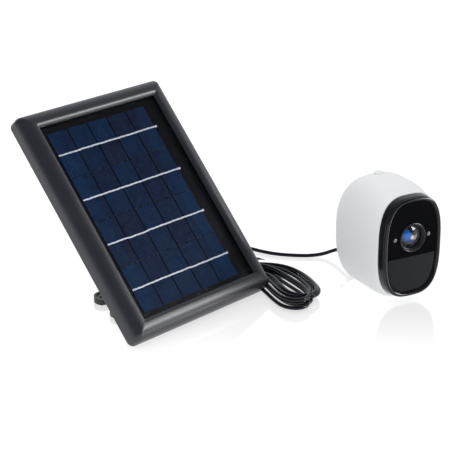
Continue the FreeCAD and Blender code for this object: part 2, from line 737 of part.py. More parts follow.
def front_bezel():
    """The black ring round the face: outer wall, rounded lip, ledge and a sleeve in the shell."""
    wires = [oval(y, half[0], FACE_Z - half[1], FACE_Z + half[1]) for y, half in (
        (SHELL_FRONT_Y, BEZEL_BACK_HALF),
        (-31.5, (22.7, 34.9)),
        (RIM_Y, BEZEL_FRONT_HALF),
        (FRONT_Y, LIP_HALF),
    )]
    body = Part.makeLoft(wires, True, True)
    sleeve_y = -22.5
    sleeve = oval_prism(20.6, FACE_Z - 32.9, FACE_Z + 32.9, SHELL_FRONT_Y - 0.1, sleeve_y)
    whole = join([body, sleeve])
    opening = oval_prism(GLASS_HALF_X + FIT, FACE_Z - GLASS_HALF_Z - FIT, FACE_Z + GLASS_HALF_Z + FIT,
                         FRONT_Y - 1, WINDOW_Y[1])
    through = oval_prism(GLASS_HALF_X - 1.8, FACE_Z - GLASS_HALF_Z + 1.8, FACE_Z + GLASS_HALF_Z - 1.8,
                         FRONT_Y - 1, sleeve_y + 1)
    whole = whole.cut(opening).cut(through)
    for x, z in sleeve_lugs():
        whole = whole.cut(rod(1.0, (x, -27.5, z), (x, sleeve_y + 1, z)))
    return whole


def face_plate():
    """The whole window's prism, before it is split in glass and motion window."""
    return oval_prism(GLASS_HALF_X, FACE_Z - GLASS_HALF_Z, FACE_Z + GLASS_HALF_Z, WINDOW_Y[0], WINDOW_Y[1])


LED_X = 13.4
LED_R = 1.5


def front_glass():
    """The glossy black upper window with the lens's hole and two small light holes."""
    glass = face_plate().common(block((-30, -40, WINDOW_TOP + 0.1), (30, 0, 90)))
    glass = glass.cut(rod(LENS_R + 0.1, (0, -40, LENS_Z), (0, -20, LENS_Z)))
    for side in (-1, 1):
        glass = glass.cut(rod(LED_R + 0.1, (side * LED_X, -40, LENS_Z), (side * LED_X, -20, LENS_Z)))
    return glass


def motion_window():
    """The dark grey window of the motion sensor, below the glass."""
    return face_plate().common(block((-30, -40, 0), (30, 0, WINDOW_TOP - 0.1)))


def infrared_leds():
    """Two small lights with domed fronts beside the lens."""
    lights = []
    for side in (-1, 1):
        body = rod(LED_R, (side * LED_X, -33.0, LENS_Z), (side * LED_X, -29.0, LENS_Z))
        dome = Part.makeSphere(LED_R * 1.25, Vector(side * LED_X, -33.0 + 1.2, LENS_Z))
        cap = dome.common(rod(LED_R, (side * LED_X, -36, LENS_Z), (side * LED_X, -31, LENS_Z)))
        lights.append(join([body, cap]))
    return group(lights)


def motion_sensor():
    """The round can of the motion sensor."""
    can = rod(4.6, (0, -26.5, 20), (0, -23.0, 20))
    window = block((-1.9, -26.9, 18), (1.9, -26.4, 22))
    board = block((-8, -23.1, 12), (8, -21.8, 28))
    return join([can, window, board])


def lens_ring():
    """The ring round the lens, standing a little proud of the glass, with a stepped cone inside."""
    outer = rod(LENS_R, (0, -34.4, LENS_Z), (0, -29.4, LENS_Z))
    mouth = cone(9.3, 8.3, (0, -34.5, LENS_Z), (0, -33.0, LENS_Z))
    bore = rod(8.3, (0, -34.5, LENS_Z), (0, -29.0, LENS_Z))
    return outer.cut(mouth).cut(bore)


def dome_lens(radius, sphere_r, y_front, y_edge, y_back):
    """A lens with a domed front: its crown at y_front and its flat rim at y_edge."""
    ball = Part.makeSphere(sphere_r, Vector(0, y_front + sphere_r, LENS_Z))
    crown = ball.common(rod(radius, (0, y_front - 1, LENS_Z), (0, y_edge + 0.1, LENS_Z)))
    return join([crown, rod(radius, (0, y_edge, LENS_Z), (0, y_back, LENS_Z))])


def lens_glass():
    """The domed front element."""
    return dome_lens(8.1, 14.0, -33.2, -30.5, -29.6)


def lens_barrel():
    """The tube behind the front element, with a stop for each element."""
    outer = rod(9.0, (0, -29.4, LENS_Z), (0, -12.0, LENS_Z))
    front_bore = cone(7.6, 4.2, (0, -29.5, LENS_Z), (0, -23.0, LENS_Z))
    middle = rod(3.2, (0, -24.0, LENS_Z), (0, -11, LENS_Z))
    rear_bore = rod(5.2, (0, -21.5, LENS_Z), (0, -11, LENS_Z))
    whole = outer.cut(front_bore).cut(middle).cut(rear_bore)
    slot = block((-14, -17.6, LENS_Z - 5.6), (14, -16.0, LENS_Z + 5.6))
    return whole.cut(slot)


def rear_lens():
    """The second element, deep in the barrel."""
    return rod(5.1, (0, -21.4, LENS_Z), (0, -18.6, LENS_Z))


FILTER_T = 1.2


def infrared_cut_filter():
    """A slide with the cut filter that moves across the light path in the barrel's slot."""
    plate = block((-5.0, -17.4, LENS_Z - 5.0), (11.0, -17.4 + FILTER_T, LENS_Z + 5.0))
    return plate.cut(rod(2.2, (8.0, -18, LENS_Z), (8.0, -15, LENS_Z)))


def image_sensor():
    """The sensor chip behind the barrel."""
    return block((-3.6, -13.2, LENS_Z - 3.2), (3.6, -12.0, LENS_Z + 3.2))


def sensor_board():
    """The board that carries the image sensor."""
    return block((-11.5, -12.0, LENS_Z - 10), (9.5, -10.6, LENS_Z + 10))


# ---------------------------------------------------------------- camera inside
def main_board():
    """The main board along the left wall, with its shield and chips."""
    board = block((-17.0, -9.0, 18.0), (-15.6, 20.0, 58.0))
    shield = block((-15.6, 0.0, 36.0), (-13.2, 16.0, 54.0))
    chip = block((-15.6, -5.0, 22.0), (-14.4, 5.0, 32.0))
    return join([board, shield, chip])


def speaker():
    """The small loudspeaker over the slots in the base."""
    low = WALL + 1.2
    return join([rod(7.4, (0, SPEAKER_Y, low), (0, SPEAKER_Y, low + 2.6)),
                 rod(5, (0, SPEAKER_Y, low + 2.6), (0, SPEAKER_Y, low + 4.6))])


def microphone():
    """The capsule on the back of the bezel's sleeve."""
    return rod(1.4, (0, -22.5, FACE_Z - 31.4), (0, -20.5, FACE_Z - 31.4))


BATTERY_X = (-12.0, 16.0)
BATTERY_Y = (-8.0, 13.6)
BATTERY_Z = (26.8, 52.6)


def battery_pack():
    """The rechargeable pack, with rounded edges."""
    pack = block((BATTERY_X[0], BATTERY_Y[0], BATTERY_Z[0]), (BATTERY_X[1], BATTERY_Y[1], BATTERY_Z[1]))
    return pack.makeFillet(1.8, pack.Edges)


def battery_contacts():
    """Three gold springs between the board and the pack."""
    return group([block((-14.3, 17.0, z), (-8.0, 18.2, z + 2.2)).fuse(
        block((-15.6, 17.0, z), (-14.3, 19.5, z + 2.2))).removeSplitter() for z in (24.0, 28.0, 32.0)])


def door_seal():
    """The rubber seal inside the door, round the pack's bay."""
    outer = block((LEDGE_X[1] + 0.1, DOOR_Y[0] + 2.8, DOOR_Z[0] + 0.6), (24, DOOR_Y[1] - 3.0, DOOR_Z[1] - 0.6))
    inner = block((LEDGE_X[1], DOOR_Y[0] + 4.4, DOOR_Z[0] + 2.2), (25, DOOR_Y[1] - 4.6, DOOR_Z[1] - 2.2))
    return outer.cut(inner).common(barrel(WALL, SHELL_FRONT_Y - 1))


def door_magnets():
    """Two catch magnets in the shell, facing the door's pads."""
    return group([block((LEDGE_X[0] - 3, DOOR_Y[0] + 0.2, z - 2.5), (LEDGE_X[0], DOOR_Y[0] + 3.2, z + 2.5))
                  for z in PAD_Z])


def sync_button():
    """The button in the top: a cap a little proud of the shell, with a flange under it."""
    half, low, high = section_size(BUTTON_Y, 0)
    top = high + BUTTON_PROUD
    cap = rod(BUTTON_R, (0, BUTTON_Y, high - 3.4), (0, BUTTON_Y, top))
    rim = [e for e in cap.Edges if abs(e.BoundBox.ZMin - top) < 0.01]
    cap = cap.makeFillet(0.45, rim)
    flange = rod(BUTTON_R + 1.0, (0, BUTTON_Y, high - 5.2), (0, BUTTON_Y, high - 4.0))
    stem = rod(BUTTON_R - 0.8, (0, BUTTON_Y, high - 4.1), (0, BUTTON_Y, high - 3.3))
    return join([cap, stem, flange])


def button_spring():
    """The button's return spring, a plain sleeve of its outer size."""
    high = section_size(BUTTON_Y, 0)[2]
    return ring(2.4, 1.6, (0, BUTTON_Y, high - 7.2), (0, BUTTON_Y, high - 5.2))


def button_switch():
    """The tact switch on its small board, under the shell's two posts."""
    high = section_size(BUTTON_Y, 0)[2]
    low = high - SWITCH_DROP
    board = block((-9, BUTTON_Y - 4, low - 1.2), (9, BUTTON_Y + 4, low))
    body = block((-3, BUTTON_Y - 3, low), (3, BUTTON_Y + 3, low + 2.0))
    return join([board, body])


def usb_socket():
    """The charging socket: a thin steel tunnel with its board."""
    outer = block((-SOCKET_HALF_X, PORT_Y - 7, PORT_Z - SOCKET_HALF_Z),
                  (SOCKET_HALF_X, PORT_Y, PORT_Z + SOCKET_HALF_Z))
    tunnel = block((-SOCKET_HALF_X + 0.4, PORT_Y - 6, PORT_Z - SOCKET_HALF_Z + 0.4),
                   (SOCKET_HALF_X - 0.4, PORT_Y + 1, PORT_Z + SOCKET_HALF_Z - 0.4))
    return outer.cut(tunnel)


def port_flap():
    """The rubber flap, open above the plug, on its two stub pins."""
    plate = block((-6.5, FLAP_Y + 0.6, FLAP_Z - 0.7), (6.5, FLAP_Y + 8.6, FLAP_Z + 0.7))
    hinge = rod(0.9, (-6.6, FLAP_Y, FLAP_Z), (6.6, FLAP_Y, FLAP_Z))
    pins = rod(0.5, (-8.1, FLAP_Y, FLAP_Z), (8.1, FLAP_Y, FLAP_Z))
    bridge = block((-6.5, FLAP_Y, FLAP_Z - 0.5), (6.5, FLAP_Y + 1.0, FLAP_Z + 0.5))
    return join([plate, hinge, pins, bridge])


def magnet_dish():
    """The steel dish in the back."""
    liner = dish_ball(DISH_SPHERE_R + 1.0).cut(dish_ball(DISH_SPHERE_R))
    return liner.common(barrel(0.15, SHELL_FRONT_Y)).common(rod(12.6, (0, 20, DISH_Z), (0, 40, DISH_Z)))


def tripod_insert():
    """The brass thread in the base, quarter inch, open downwards."""
    outer = rod(TRIPOD_OUTER_R, (0, INSERT_Y, 2 * FOOT_FLAT), (0, INSERT_Y, INSERT_Z))
    return outer.cut(rod(TRIPOD_R, (0, INSERT_Y, -1), (0, INSERT_Y, INSERT_Z - 1.2)))


def housing_screws():
    """Four screws that pull the bezel's sleeve to the shell's lugs from inside."""
    return group([join([rod(1.0, (x, -27.4, z), (x, -20.4, z)), rod(1.9, (x, -20.4, z), (x, -19.2, z))])
                  for x, z in sleeve_lugs()])


# ---------------------------------------------------------------- lead
PLUG_START = PORT_Y + 2.0


def plug_shell():
    """The plug's metal tongue in the socket."""
    return block((-3.5, PORT_Y - 5.5, PORT_Z - 1.2), (3.5, PLUG_START, PORT_Z + 1.2))


def usb_plug():
    """The moulded body of the plug."""
    body = block((-5.2, PLUG_START, PORT_Z - 3.6), (5.2, PLUG_START + PLUG_L, PORT_Z + 3.6))
    return body.makeFillet(1.4, body.Edges)


def plug_relief():
    """The plug's tapered strain relief."""
    start = PLUG_START + PLUG_L
    return cone(2.9, 1.6, (0, start, PORT_Z), (0, start + RELIEF_L, PORT_Z))


def gland_tip():
    """Where the lead leaves the gland."""
    return PANEL_PLACE.multVec(Vector(GLAND_X, GLAND_Y, -GLAND_TIP)) + ORIGIN


def relief_tip():
    """Where the lead enters the plug's strain relief."""
    return CAMERA_PLACE.multVec(Vector(0, PLUG_START + PLUG_L + RELIEF_L, PORT_Z)) + ORIGIN


# Routes on the floor, from the panel's lower left corner. The first is laid from the gland to the
# hank, the second from the hank to the camera's plug.
PANEL_LEAD = [
    (110.6, 39.2, 8.1),
    (112.6, 48.4, 3.2),
    (117.6, 57.0, 1.5),
    (123.8, 64.6, 1.6),
    (130.6, 71.4, 2.6),
]
CAMERA_LEAD = [
    (146.0, 85.0, 2.8),
    (155.6, 85.4, 1.7),
    (164.8, 81.4, 1.4),
    (171.2, 72.6, 1.4),
    (173.6, 61.0, 1.4),
    (175.2, 48.8, 1.4),
    (178.6, 37.2, 1.4),
    (184.8, 27.0, 1.4),
    (192.4, 17.8, 1.4),
    (200.4, 11.8, 2.0),
    (205.0, 5.0, 5.6),
    (204.6, -2.8, 9.3),
]


def tube(points, label):
    """A round tube along straight runs joined by tangent arcs. Prints each arc's radius."""
    edges = []
    radii = []
    length = 0.0
    here = points[0]
    for before, corner, after in zip(points, points[1:], points[2:]):
        back = (before - corner)
        ahead = (after - corner)
        run = min(back.Length, ahead.Length)
        turn = math.pi - back.getAngle(ahead)
        cut = 0.45 * run
        radius = cut / math.tan(turn / 2)
        back.normalize()
        ahead.normalize()
        first = corner + back * cut
        last = corner + ahead * cut
        middle_dir = back + ahead
        middle_dir.normalize()
        depth = radius / math.cos(turn / 2) - radius
        middle = corner + middle_dir * depth
        edges.append(Part.LineSegment(here, first).toShape())
        edges.append(Part.Arc(first, middle, last).toShape())
        length += (first - here).Length + radius * turn
        radii.append(radius)
        here = last
    edges.append(Part.LineSegment(here, points[-1]).toShape())
    length += (points[-1] - here).Length
    path = Part.Wire(edges)
    start_dir = points[1] - points[0]
    circle = Part.Wire(Part.makeCircle(LEAD_R, points[0], start_dir))
    solid = path.makePipeShell([circle], True, False)
    section = math.pi * LEAD_R ** 2
    print(f"{label}: length {length:.1f} mm, volume / (section x length) "
          f"{solid.Volume / (section * length):.4f}, radii "
          + " ".join(f"{r:.1f}" for r in radii))
    return solid


def route(points):
    """Route points as vectors in the object's own frame."""
    return [Vector(*point) - ORIGIN for point in points]


def panel_lead():
    """The lead from the gland down to the floor and on to the hank."""
    return tube([gland_tip() - ORIGIN] + route(PANEL_LEAD), "panel_lead")


def camera_lead():
    """The lead from the hank over the floor to the camera's plug."""
    return tube(route(CAMERA_LEAD) + [relief_tip() - ORIGIN], "camera_lead")


HANK_OUTLINE = [
    (129.8, 74.0), (129.4, 52.0), (129.6, 33.0), (128.8, 14.0), (127.9, 1.0), (125.8, -8.4), (121.6, -18.0),
    (117.6, -28.0), (119.4, -37.4), (128.0, -39.2), (139.0, -32.8), (149.4, -21.8), (156.6, -9.2),
    (159.6, 4.0), (157.2, 15.0), (150.6, 24.6), (146.2, 33.0), (148.6, 46.0), (152.4, 60.0),
    (153.4, 74.0), (149.4, 84.4), (141.0, 87.4), (133.0, 83.4),
]
TIE_X = (129.2, 146.8)
TIE_Y = (29.0, 37.0)
TIE_T = 0.8
TAIL_L = 5.0


def hank_prism():
    """The outer shape of the tied hank, before the strap's groove."""
    curve = Part.BSplineCurve()
    curve.interpolate([Vector(x, y, HANK_LOW) - ORIGIN for x, y in HANK_OUTLINE], PeriodicFlag=True)
    return Part.Face(Part.Wire(curve.toShape())).extrude(Vector(0, 0, HANK_HIGH - HANK_LOW))


def tie_band():
    """The strap's band round the hank: its outside size, and the hank inside it."""
    low = Vector(TIE_X[0], TIE_Y[0], 0.0) - ORIGIN
    high = Vector(TIE_X[1], TIE_Y[1], HANK_HIGH + 0.2) - ORIGIN
    thickness = Vector(TIE_T, 0, TIE_T)
    outer = block(tuple(low), tuple(high))
    inner = block(tuple(low + thickness - Y_AXIS), tuple(high - thickness + Y_AXIS))
    return outer, inner


def lead_hank():
    """The hank as one closed solid, waisted where the strap goes round."""
    outer, inner = tie_band()
    wide = block((outer.BoundBox.XMin - 3, outer.BoundBox.YMin, -1), (outer.BoundBox.XMax + 3, outer.BoundBox.YMax, 12))
    return hank_prism().cut(wide.cut(inner)).removeSplitter()


def hank_tie():
    """The strap with its free tail."""
    outer, inner = tie_band()
    box = outer.BoundBox
    tail = block((box.XMax - 0.1, box.YMin, box.ZMax - 2), (box.XMax + TAIL_L, box.YMax, box.ZMax - 2 + TIE_T))
    return join([outer.cut(inner), tail])


# ---------------------------------------------------------------- every node
PANEL_NODES = [
    panel_frame, glass_cover, solar_cells, busbars, cell_backsheet, panel_gasket, panel_back_cover,
    panel_screws, charge_board, stand_insert, lead_gland, panel_clevis, lock_nut,
]
CAMERA_NODES = [
    camera_housing, battery_door, door_pin, front_bezel, front_glass, motion_window, infrared_leds,
    motion_sensor, lens_ring, lens_glass, lens_barrel, rear_lens, infrared_cut_filter, image_sensor,
    sensor_board, main_board, speaker, microphone, battery_pack, battery_contacts, door_seal,
    door_magnets, sync_button, button_spring, button_switch, usb_socket, port_flap, magnet_dish,
    tripod_insert, housing_screws, plug_shell, usb_plug, plug_relief,
]
FOOT_NODES = [foot_plate, swivel_washer]
FLOOR_NODES = [link_arm, panel_lead, camera_lead, lead_hank, hank_tie]


def all_nodes():
    """Every node's name and its solid in the object's frame."""
    nodes = {}
    for make in PANEL_NODES:
        nodes[make.__name__] = placed(make(), PANEL_PLACE)
    for make in CAMERA_NODES:
        nodes[make.__name__] = placed(make(), CAMERA_PLACE)
    for make in FOOT_NODES:
        nodes[make.__name__] = placed(make(), FOOT_PLACE)
    for make in FLOOR_NODES:
        nodes[make.__name__] = make()
    square_foot = Placement(Vector(FOOT_X, FOOT_Y, 0) - ORIGIN, Rotation())
    nodes["foot_clevis"] = placed(foot_clevis(), square_foot)
    nodes["swivel_rivet"] = placed(swivel_rivet(), square_foot)
    for name, pivot in (("upper", PIVOT_UP), ("lower", PIVOT_LOW)):
        at_pivot = Placement(pivot - ORIGIN, Rotation())
        nodes[name + "_bolt"] = placed(hinge_bolt(), at_pivot)
        nodes[name + "_knob"] = placed(clamp_knob(), at_pivot)
    return nodes


def main():
    """Write one STEP file for each node."""
    os.makedirs("parts", exist_ok=True)
    nodes = all_nodes()
    for name, shape in nodes.items():
        shape.exportStep(f"parts/{name}.step")
    box = FreeCAD.BoundBox()
    cord_nodes = {"panel_lead", "camera_lead", "lead_hank", "hank_tie", "usb_plug", "plug_shell",
                  "plug_relief", "lead_gland"}
    for name, shape in nodes.items():
        if name not in cord_nodes:
            box.add(shape.optimalBoundingBox())
    print("nodes", len(nodes), "box", box)
    print("upper pivot", PIVOT_UP - ORIGIN, "lower pivot", PIVOT_LOW - ORIGIN)
    print("gland tip", gland_tip(), "relief tip", relief_tip())


main()
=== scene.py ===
"""Looks of a solar-powered security camera: charging panel on a stand, camera, and the lead.

Metres, +Z up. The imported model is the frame, and every piece here rides on one of its bodies.
Places on the floor are measured from the panel's lower left corner, as in the part's own source,
and ORIGIN brings them to the frame. Routes repeat the part's own points.
"""

import logging
import math
from dataclasses import dataclass, field
from enum import Enum
from typing import ClassVar

import bpy
import numpy as np
from mathutils import Matrix, Vector


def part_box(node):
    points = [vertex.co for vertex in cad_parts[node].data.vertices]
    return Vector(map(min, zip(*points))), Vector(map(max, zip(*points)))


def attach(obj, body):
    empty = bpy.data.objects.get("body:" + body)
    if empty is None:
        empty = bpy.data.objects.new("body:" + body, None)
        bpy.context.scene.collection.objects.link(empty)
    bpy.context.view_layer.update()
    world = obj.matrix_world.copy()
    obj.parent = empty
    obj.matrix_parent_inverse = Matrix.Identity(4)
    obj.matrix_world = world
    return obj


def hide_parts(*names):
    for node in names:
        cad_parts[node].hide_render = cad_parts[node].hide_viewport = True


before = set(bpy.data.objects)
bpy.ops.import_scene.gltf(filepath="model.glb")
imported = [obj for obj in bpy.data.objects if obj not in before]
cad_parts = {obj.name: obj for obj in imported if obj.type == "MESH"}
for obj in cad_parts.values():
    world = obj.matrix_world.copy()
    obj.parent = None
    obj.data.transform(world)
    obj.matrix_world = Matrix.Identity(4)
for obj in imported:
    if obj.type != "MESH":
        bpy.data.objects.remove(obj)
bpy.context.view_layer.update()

log = logging.getLogger("solar_camera")

MM = 0.001
ORIGIN = np.array([108.75, 11.18, 0.0])
# The way the view looks, along the floor.
AWAY = (0.72, 0.69, 0.0)
Array = np.ndarray
Colour = tuple[float, float, float]


# ------------------------------------------------------------------ shader writing
class Wire:
    """A shader socket whose operators add Math nodes to its tree."""

    def __init__(self, tree: bpy.types.NodeTree, socket: bpy.types.NodeSocket) -> None:
        """Keep a tree and one of its output sockets."""
        self.tree = tree
        self.socket = socket

    def _math(self, operation: str, first: "Wire | float", second: "Wire | float") -> "Wire":
        """Add a Math node.

        Args:
            operation: the Math node's operation.
            first: its first value.
            second: its second value.

        Returns:
            The node's result.
        """
        made = add_node(self.tree, "ShaderNodeMath", {"operation": operation}, {0: first, 1: second})
        return Wire(self.tree, made.outputs[0])

    def __add__(self, other: "Wire | float") -> "Wire":
        """This plus other."""
        return self._math("ADD", self, other)

    __radd__ = __add__

    def __mul__(self, other: "Wire | float") -> "Wire":
        """This times other."""
        return self._math("MULTIPLY", self, other)

    __rmul__ = __mul__

    def __sub__(self, other: "Wire | float") -> "Wire":
        """This minus other."""
        return self._math("SUBTRACT", self, other)

    def __rsub__(self, other: "Wire | float") -> "Wire":
        """Other minus this."""
        return self._math("SUBTRACT", other, self)

    def __truediv__(self, other: "Wire | float") -> "Wire":
        """This divided by other."""
        return self._math("DIVIDE", self, other)

    def __pow__(self, other: "Wire | float") -> "Wire":
        """This to the power of other."""
        return self._math("POWER", self, other)

    def __lt__(self, other: "Wire | float") -> "Wire":
        """One where this is less than other."""
        return self._math("LESS_THAN", self, other)

    def __gt__(self, other: "Wire | float") -> "Wire":
        """One where this is more than other."""
        return self._math("GREATER_THAN", self, other)

    def fold(self, period: float) -> "Wire":
        """The way to the nearest multiple of a period."""
        return self._math("PINGPONG", self, period / 2)

    def step(self, size: float) -> "Wire":
        """This rounded down to a multiple of a size."""
        return self._math("SNAP", self, size)


def add_node(tree: bpy.types.NodeTree, kind: str, settings: dict, values: dict) -> bpy.types.Node:
    """Add a node to a tree, with its settings set first and its sockets filled next.

    Args:
        tree: the node tree.
        kind: the node's type.
        settings: names and values of the node's own properties. "stops" fills a colour ramp.
        values: socket names or numbers, and what they hold: a Wire, a number or a tuple.

    Returns:
        The new node.
    """
    made = tree.nodes.new(kind)
    for name, value in settings.items():
        if name == "stops":
            ramp = made.color_ramp.elements
            while len(ramp) < len(value):
                ramp.new(0.5)
            for stop, (place, colour) in zip(ramp, value):
                stop.position = place
                stop.color = (*colour, 1.0)
        else:
            setattr(made, name, value)
    for name, value in values.items():
        socket = made.inputs[name]
        if isinstance(value, Wire):
            tree.links.new(value.socket, socket)
        elif isinstance(value, tuple) and len(value) == 3 and socket.type == "RGBA":
            socket.default_value = (*value, 1.0)
        else:
            socket.default_value = value
    return made


class Palette:
    """The node tree of one material, with short ways to its usual nodes."""

    def __init__(self, name: str) -> None:
        """Start an empty material.

        Args:
            name: the material's name.
        """
        self.material = bpy.data.materials.new(name)
        self.material.use_nodes = True
        self.tree = self.material.node_tree
        self.tree.nodes.clear()
        self.output = self.tree.nodes.new("ShaderNodeOutputMaterial")

    def node(self, kind: str, settings: dict | None = None, values: dict | None = None,
             out: int | str = 0) -> Wire:
        """Any node, by its type.

        Args:
            kind: the node's type.
            settings: its own properties.
            values: what its sockets hold.
            out: which output to return.

        Returns:
            The chosen output.
        """
        made = add_node(self.tree, kind, settings or {}, values or {})
        return Wire(self.tree, made.outputs[out])

    def place(self, location: Array | None = None, turn: tuple[float, float, float] = (0, 0, 0)) -> Wire:
        """Object coordinates, seen from a point and turned.

        Args:
            location: the point that becomes the middle, in metres.
            turn: Euler angles of the piece's own axes, in radians.

        Returns:
            The vector in the piece's own axes.
        """
        here = self.node("ShaderNodeTexCoord", out="Object")
        if location is None:
            return here
        shifted = self.node("ShaderNodeVectorMath", {"operation": "SUBTRACT"},
                            {0: here, 1: tuple(float(v) for v in location)})
        back = Matrix.Rotation(-turn[0], 4, "X") @ Matrix.Rotation(-turn[2], 4, "Z")
        return self.node("ShaderNodeMapping", {"vector_type": "POINT"},
                         {"Vector": shifted, "Rotation": tuple(back.to_euler())})

    def split(self, vector: Wire) -> tuple[Wire, Wire, Wire]:
        """The three parts of a vector."""
        made = add_node(self.tree, "ShaderNodeSeparateXYZ", {}, {0: vector})
        return tuple(Wire(self.tree, socket) for socket in made.outputs)

    def noise(self, vector: Wire, scale: float, detail: float = 3.0, roughness: float = 0.55) -> Wire:
        """Fractal noise.

        Args:
            vector: where to read it.
            scale: features to the metre.
            detail: octaves.
            roughness: how strong the finer octaves are.

        Returns:
            A value from 0 to 1.
        """
        return self.node("ShaderNodeTexNoise", {"noise_dimensions": "3D"},
                         {"Vector": vector, "Scale": scale, "Detail": detail, "Roughness": roughness})

    def mix(self, share: Wire | float, first: Wire | Colour, second: Wire | Colour) -> Wire:
        """A colour between two colours."""
        return self.node("ShaderNodeMix", {"data_type": "RGBA"},
                         {"Factor": share, 6: first, 7: second}, out=2)

    def bump(self, height: Wire, distance: float, strength: float = 1.0) -> Wire:
        """A normal from a height.

        Args:
            height: height from 0 to 1.
            distance: what 1 stands for, in metres.
            strength: share of the effect.

        Returns:
            The normal.
        """
        return self.node("ShaderNodeBump", values={
            "Height": height, "Distance": distance, "Strength": strength})

    def ease(self, value: Wire, low: float, high: float, at_low: float, at_high: float) -> Wire:
        """A smooth step from one number, where a value is low, to another, where it is high."""
        return self.node("ShaderNodeMapRange", {"interpolation_type": "SMOOTHSTEP"}, {
            "Value": value, "From Min": low, "From Max": high, "To Min": at_low, "To Max": at_high})

    def principled(self, values: dict) -> Wire:
        """A Principled shader."""
        return self.node("ShaderNodeBsdfPrincipled", values=values)

    def finish(self, surface: Wire) -> bpy.types.Material:
        """Join the surface to the output and return the material."""
        self.tree.links.new(surface.socket, self.output.inputs["Surface"])
        return self.material


# ------------------------------------------------------------------ finishes
@dataclass(frozen=True)
class Moulded:
    """A moulded plastic or rubber: fine spark texture, slow colour drift and scuffed patches."""

    name: str
    colour: Colour
    roughness: float = 0.45
    grain: float = 0.00004
    grain_scale: float = 2600.0
    drift: float = 0.12
    coat: float = 0.0
    specular: float = 0.5

    def material(self) -> bpy.types.Material:
        """Build the material."""
        tree = Palette(self.name)
        here = tree.place()
        cloud = tree.noise(here, 55.0, 4.0)
        fine = tree.noise(here, self.grain_scale, 2.0)
        scuff = tree.noise(here, 420.0, 6.0, 0.7)
        light = tuple(min(1.0, c * (1 + self.drift) + 0.004) for c in self.colour)
        dark = tuple(c * (1 - self.drift) for c in self.colour)
        rough = self.roughness + (cloud - 0.5) * 0.10 + (scuff - 0.5) * 0.08
        return tree.finish(tree.principled({
            "Base Color": tree.mix(cloud * 0.75 + fine * 0.25, dark, light),
            "Roughness": rough,
            "Specular IOR Level": self.specular,
            "Coat Weight": self.coat,
            "Coat Roughness": 0.06,
            "Normal": tree.bump(fine * 0.7 + scuff * 0.3, self.grain),
        }))


@dataclass(frozen=True)
class Polished:
    """A polished plastic: near mirror, with faint waves from the mould and a little dust."""

    name: str
    colour: Colour
    roughness: float = 0.07
    wave: float = 0.00003
    coat: float = 0.4
    specular: float = 0.45

    def material(self) -> bpy.types.Material:
        """Build the material."""
        tree = Palette(self.name)
        here = tree.place()
        slow = tree.noise(here, 38.0, 2.0)
        dust = tree.noise(here, 5200.0, 1.0)
        speck = dust > 0.74
        pale = tuple(min(1.0, c * 1.25 + 0.006) for c in self.colour)
        return tree.finish(tree.principled({
            "Base Color": tree.mix(slow * 0.5 + speck * 0.3, self.colour, pale),
            "Roughness": self.roughness + slow * 0.03 + speck * 0.12,
            "Specular IOR Level": self.specular,
            "Coat Weight": self.coat,
            "Coat Roughness": 0.03,
            "Normal": tree.bump(slow, self.wave),
        }))


@dataclass(frozen=True)
class Metal:
    """A plated or turned metal with fine lines round or along the piece."""

    name: str
    colour: Colour
    roughness: float = 0.28
    line_scale: float = 5200.0

    def material(self) -> bpy.types.Material:
        """Build the material."""
        tree = Palette(self.name)
        here = tree.place()
        stretched = tree.node("ShaderNodeMapping", values={"Vector": here, "Scale": (0.06, 1.0, 1.0)})
        lines = tree.noise(stretched, self.line_scale, 3.0)
        cloud = tree.noise(here, 160.0, 4.0)
        dull = tuple(c * 0.72 for c in self.colour)
        return tree.finish(tree.principled({
            "Base Color": tree.mix(cloud, dull, self.colour),
            "Metallic": 1.0,
            "Roughness": self.roughness + (lines - 0.5) * 0.16 + (cloud - 0.5) * 0.1,
            "Normal": tree.bump(lines, 0.00001),
        }))


@dataclass(frozen=True)
class CircuitBoard:
    """Solder mask with copper tracks under it and bright pads."""

    name: str = "circuit_board"
    mask: Colour = (0.012, 0.10, 0.045)
    pad: Colour = (0.62, 0.60, 0.52)

    def material(self) -> bpy.types.Material:
        """Build the material."""
        tree = Palette(self.name)
        here = tree.place()
        x, y, z = tree.split(here)
        track = ((y + z).fold(0.0024) < 0.0004) * (tree.noise(here, 300.0, 1.0) > 0.47)
        pads = ((x.fold(0.0027) < 0.0005) * (z.fold(0.0027) < 0.0005)) * (tree.noise(here, 190.0, 1.0) > 0.55)
        green = tree.mix(track, self.mask, tuple(c * 1.9 for c in self.mask))
        return tree.finish(tree.principled({
            "Base Color": tree.mix(pads, green, self.pad),
            "Metallic": pads,
            "Roughness": 0.38 - pads * 0.1,
            "Normal": tree.bump(track, 0.00004),
        }))


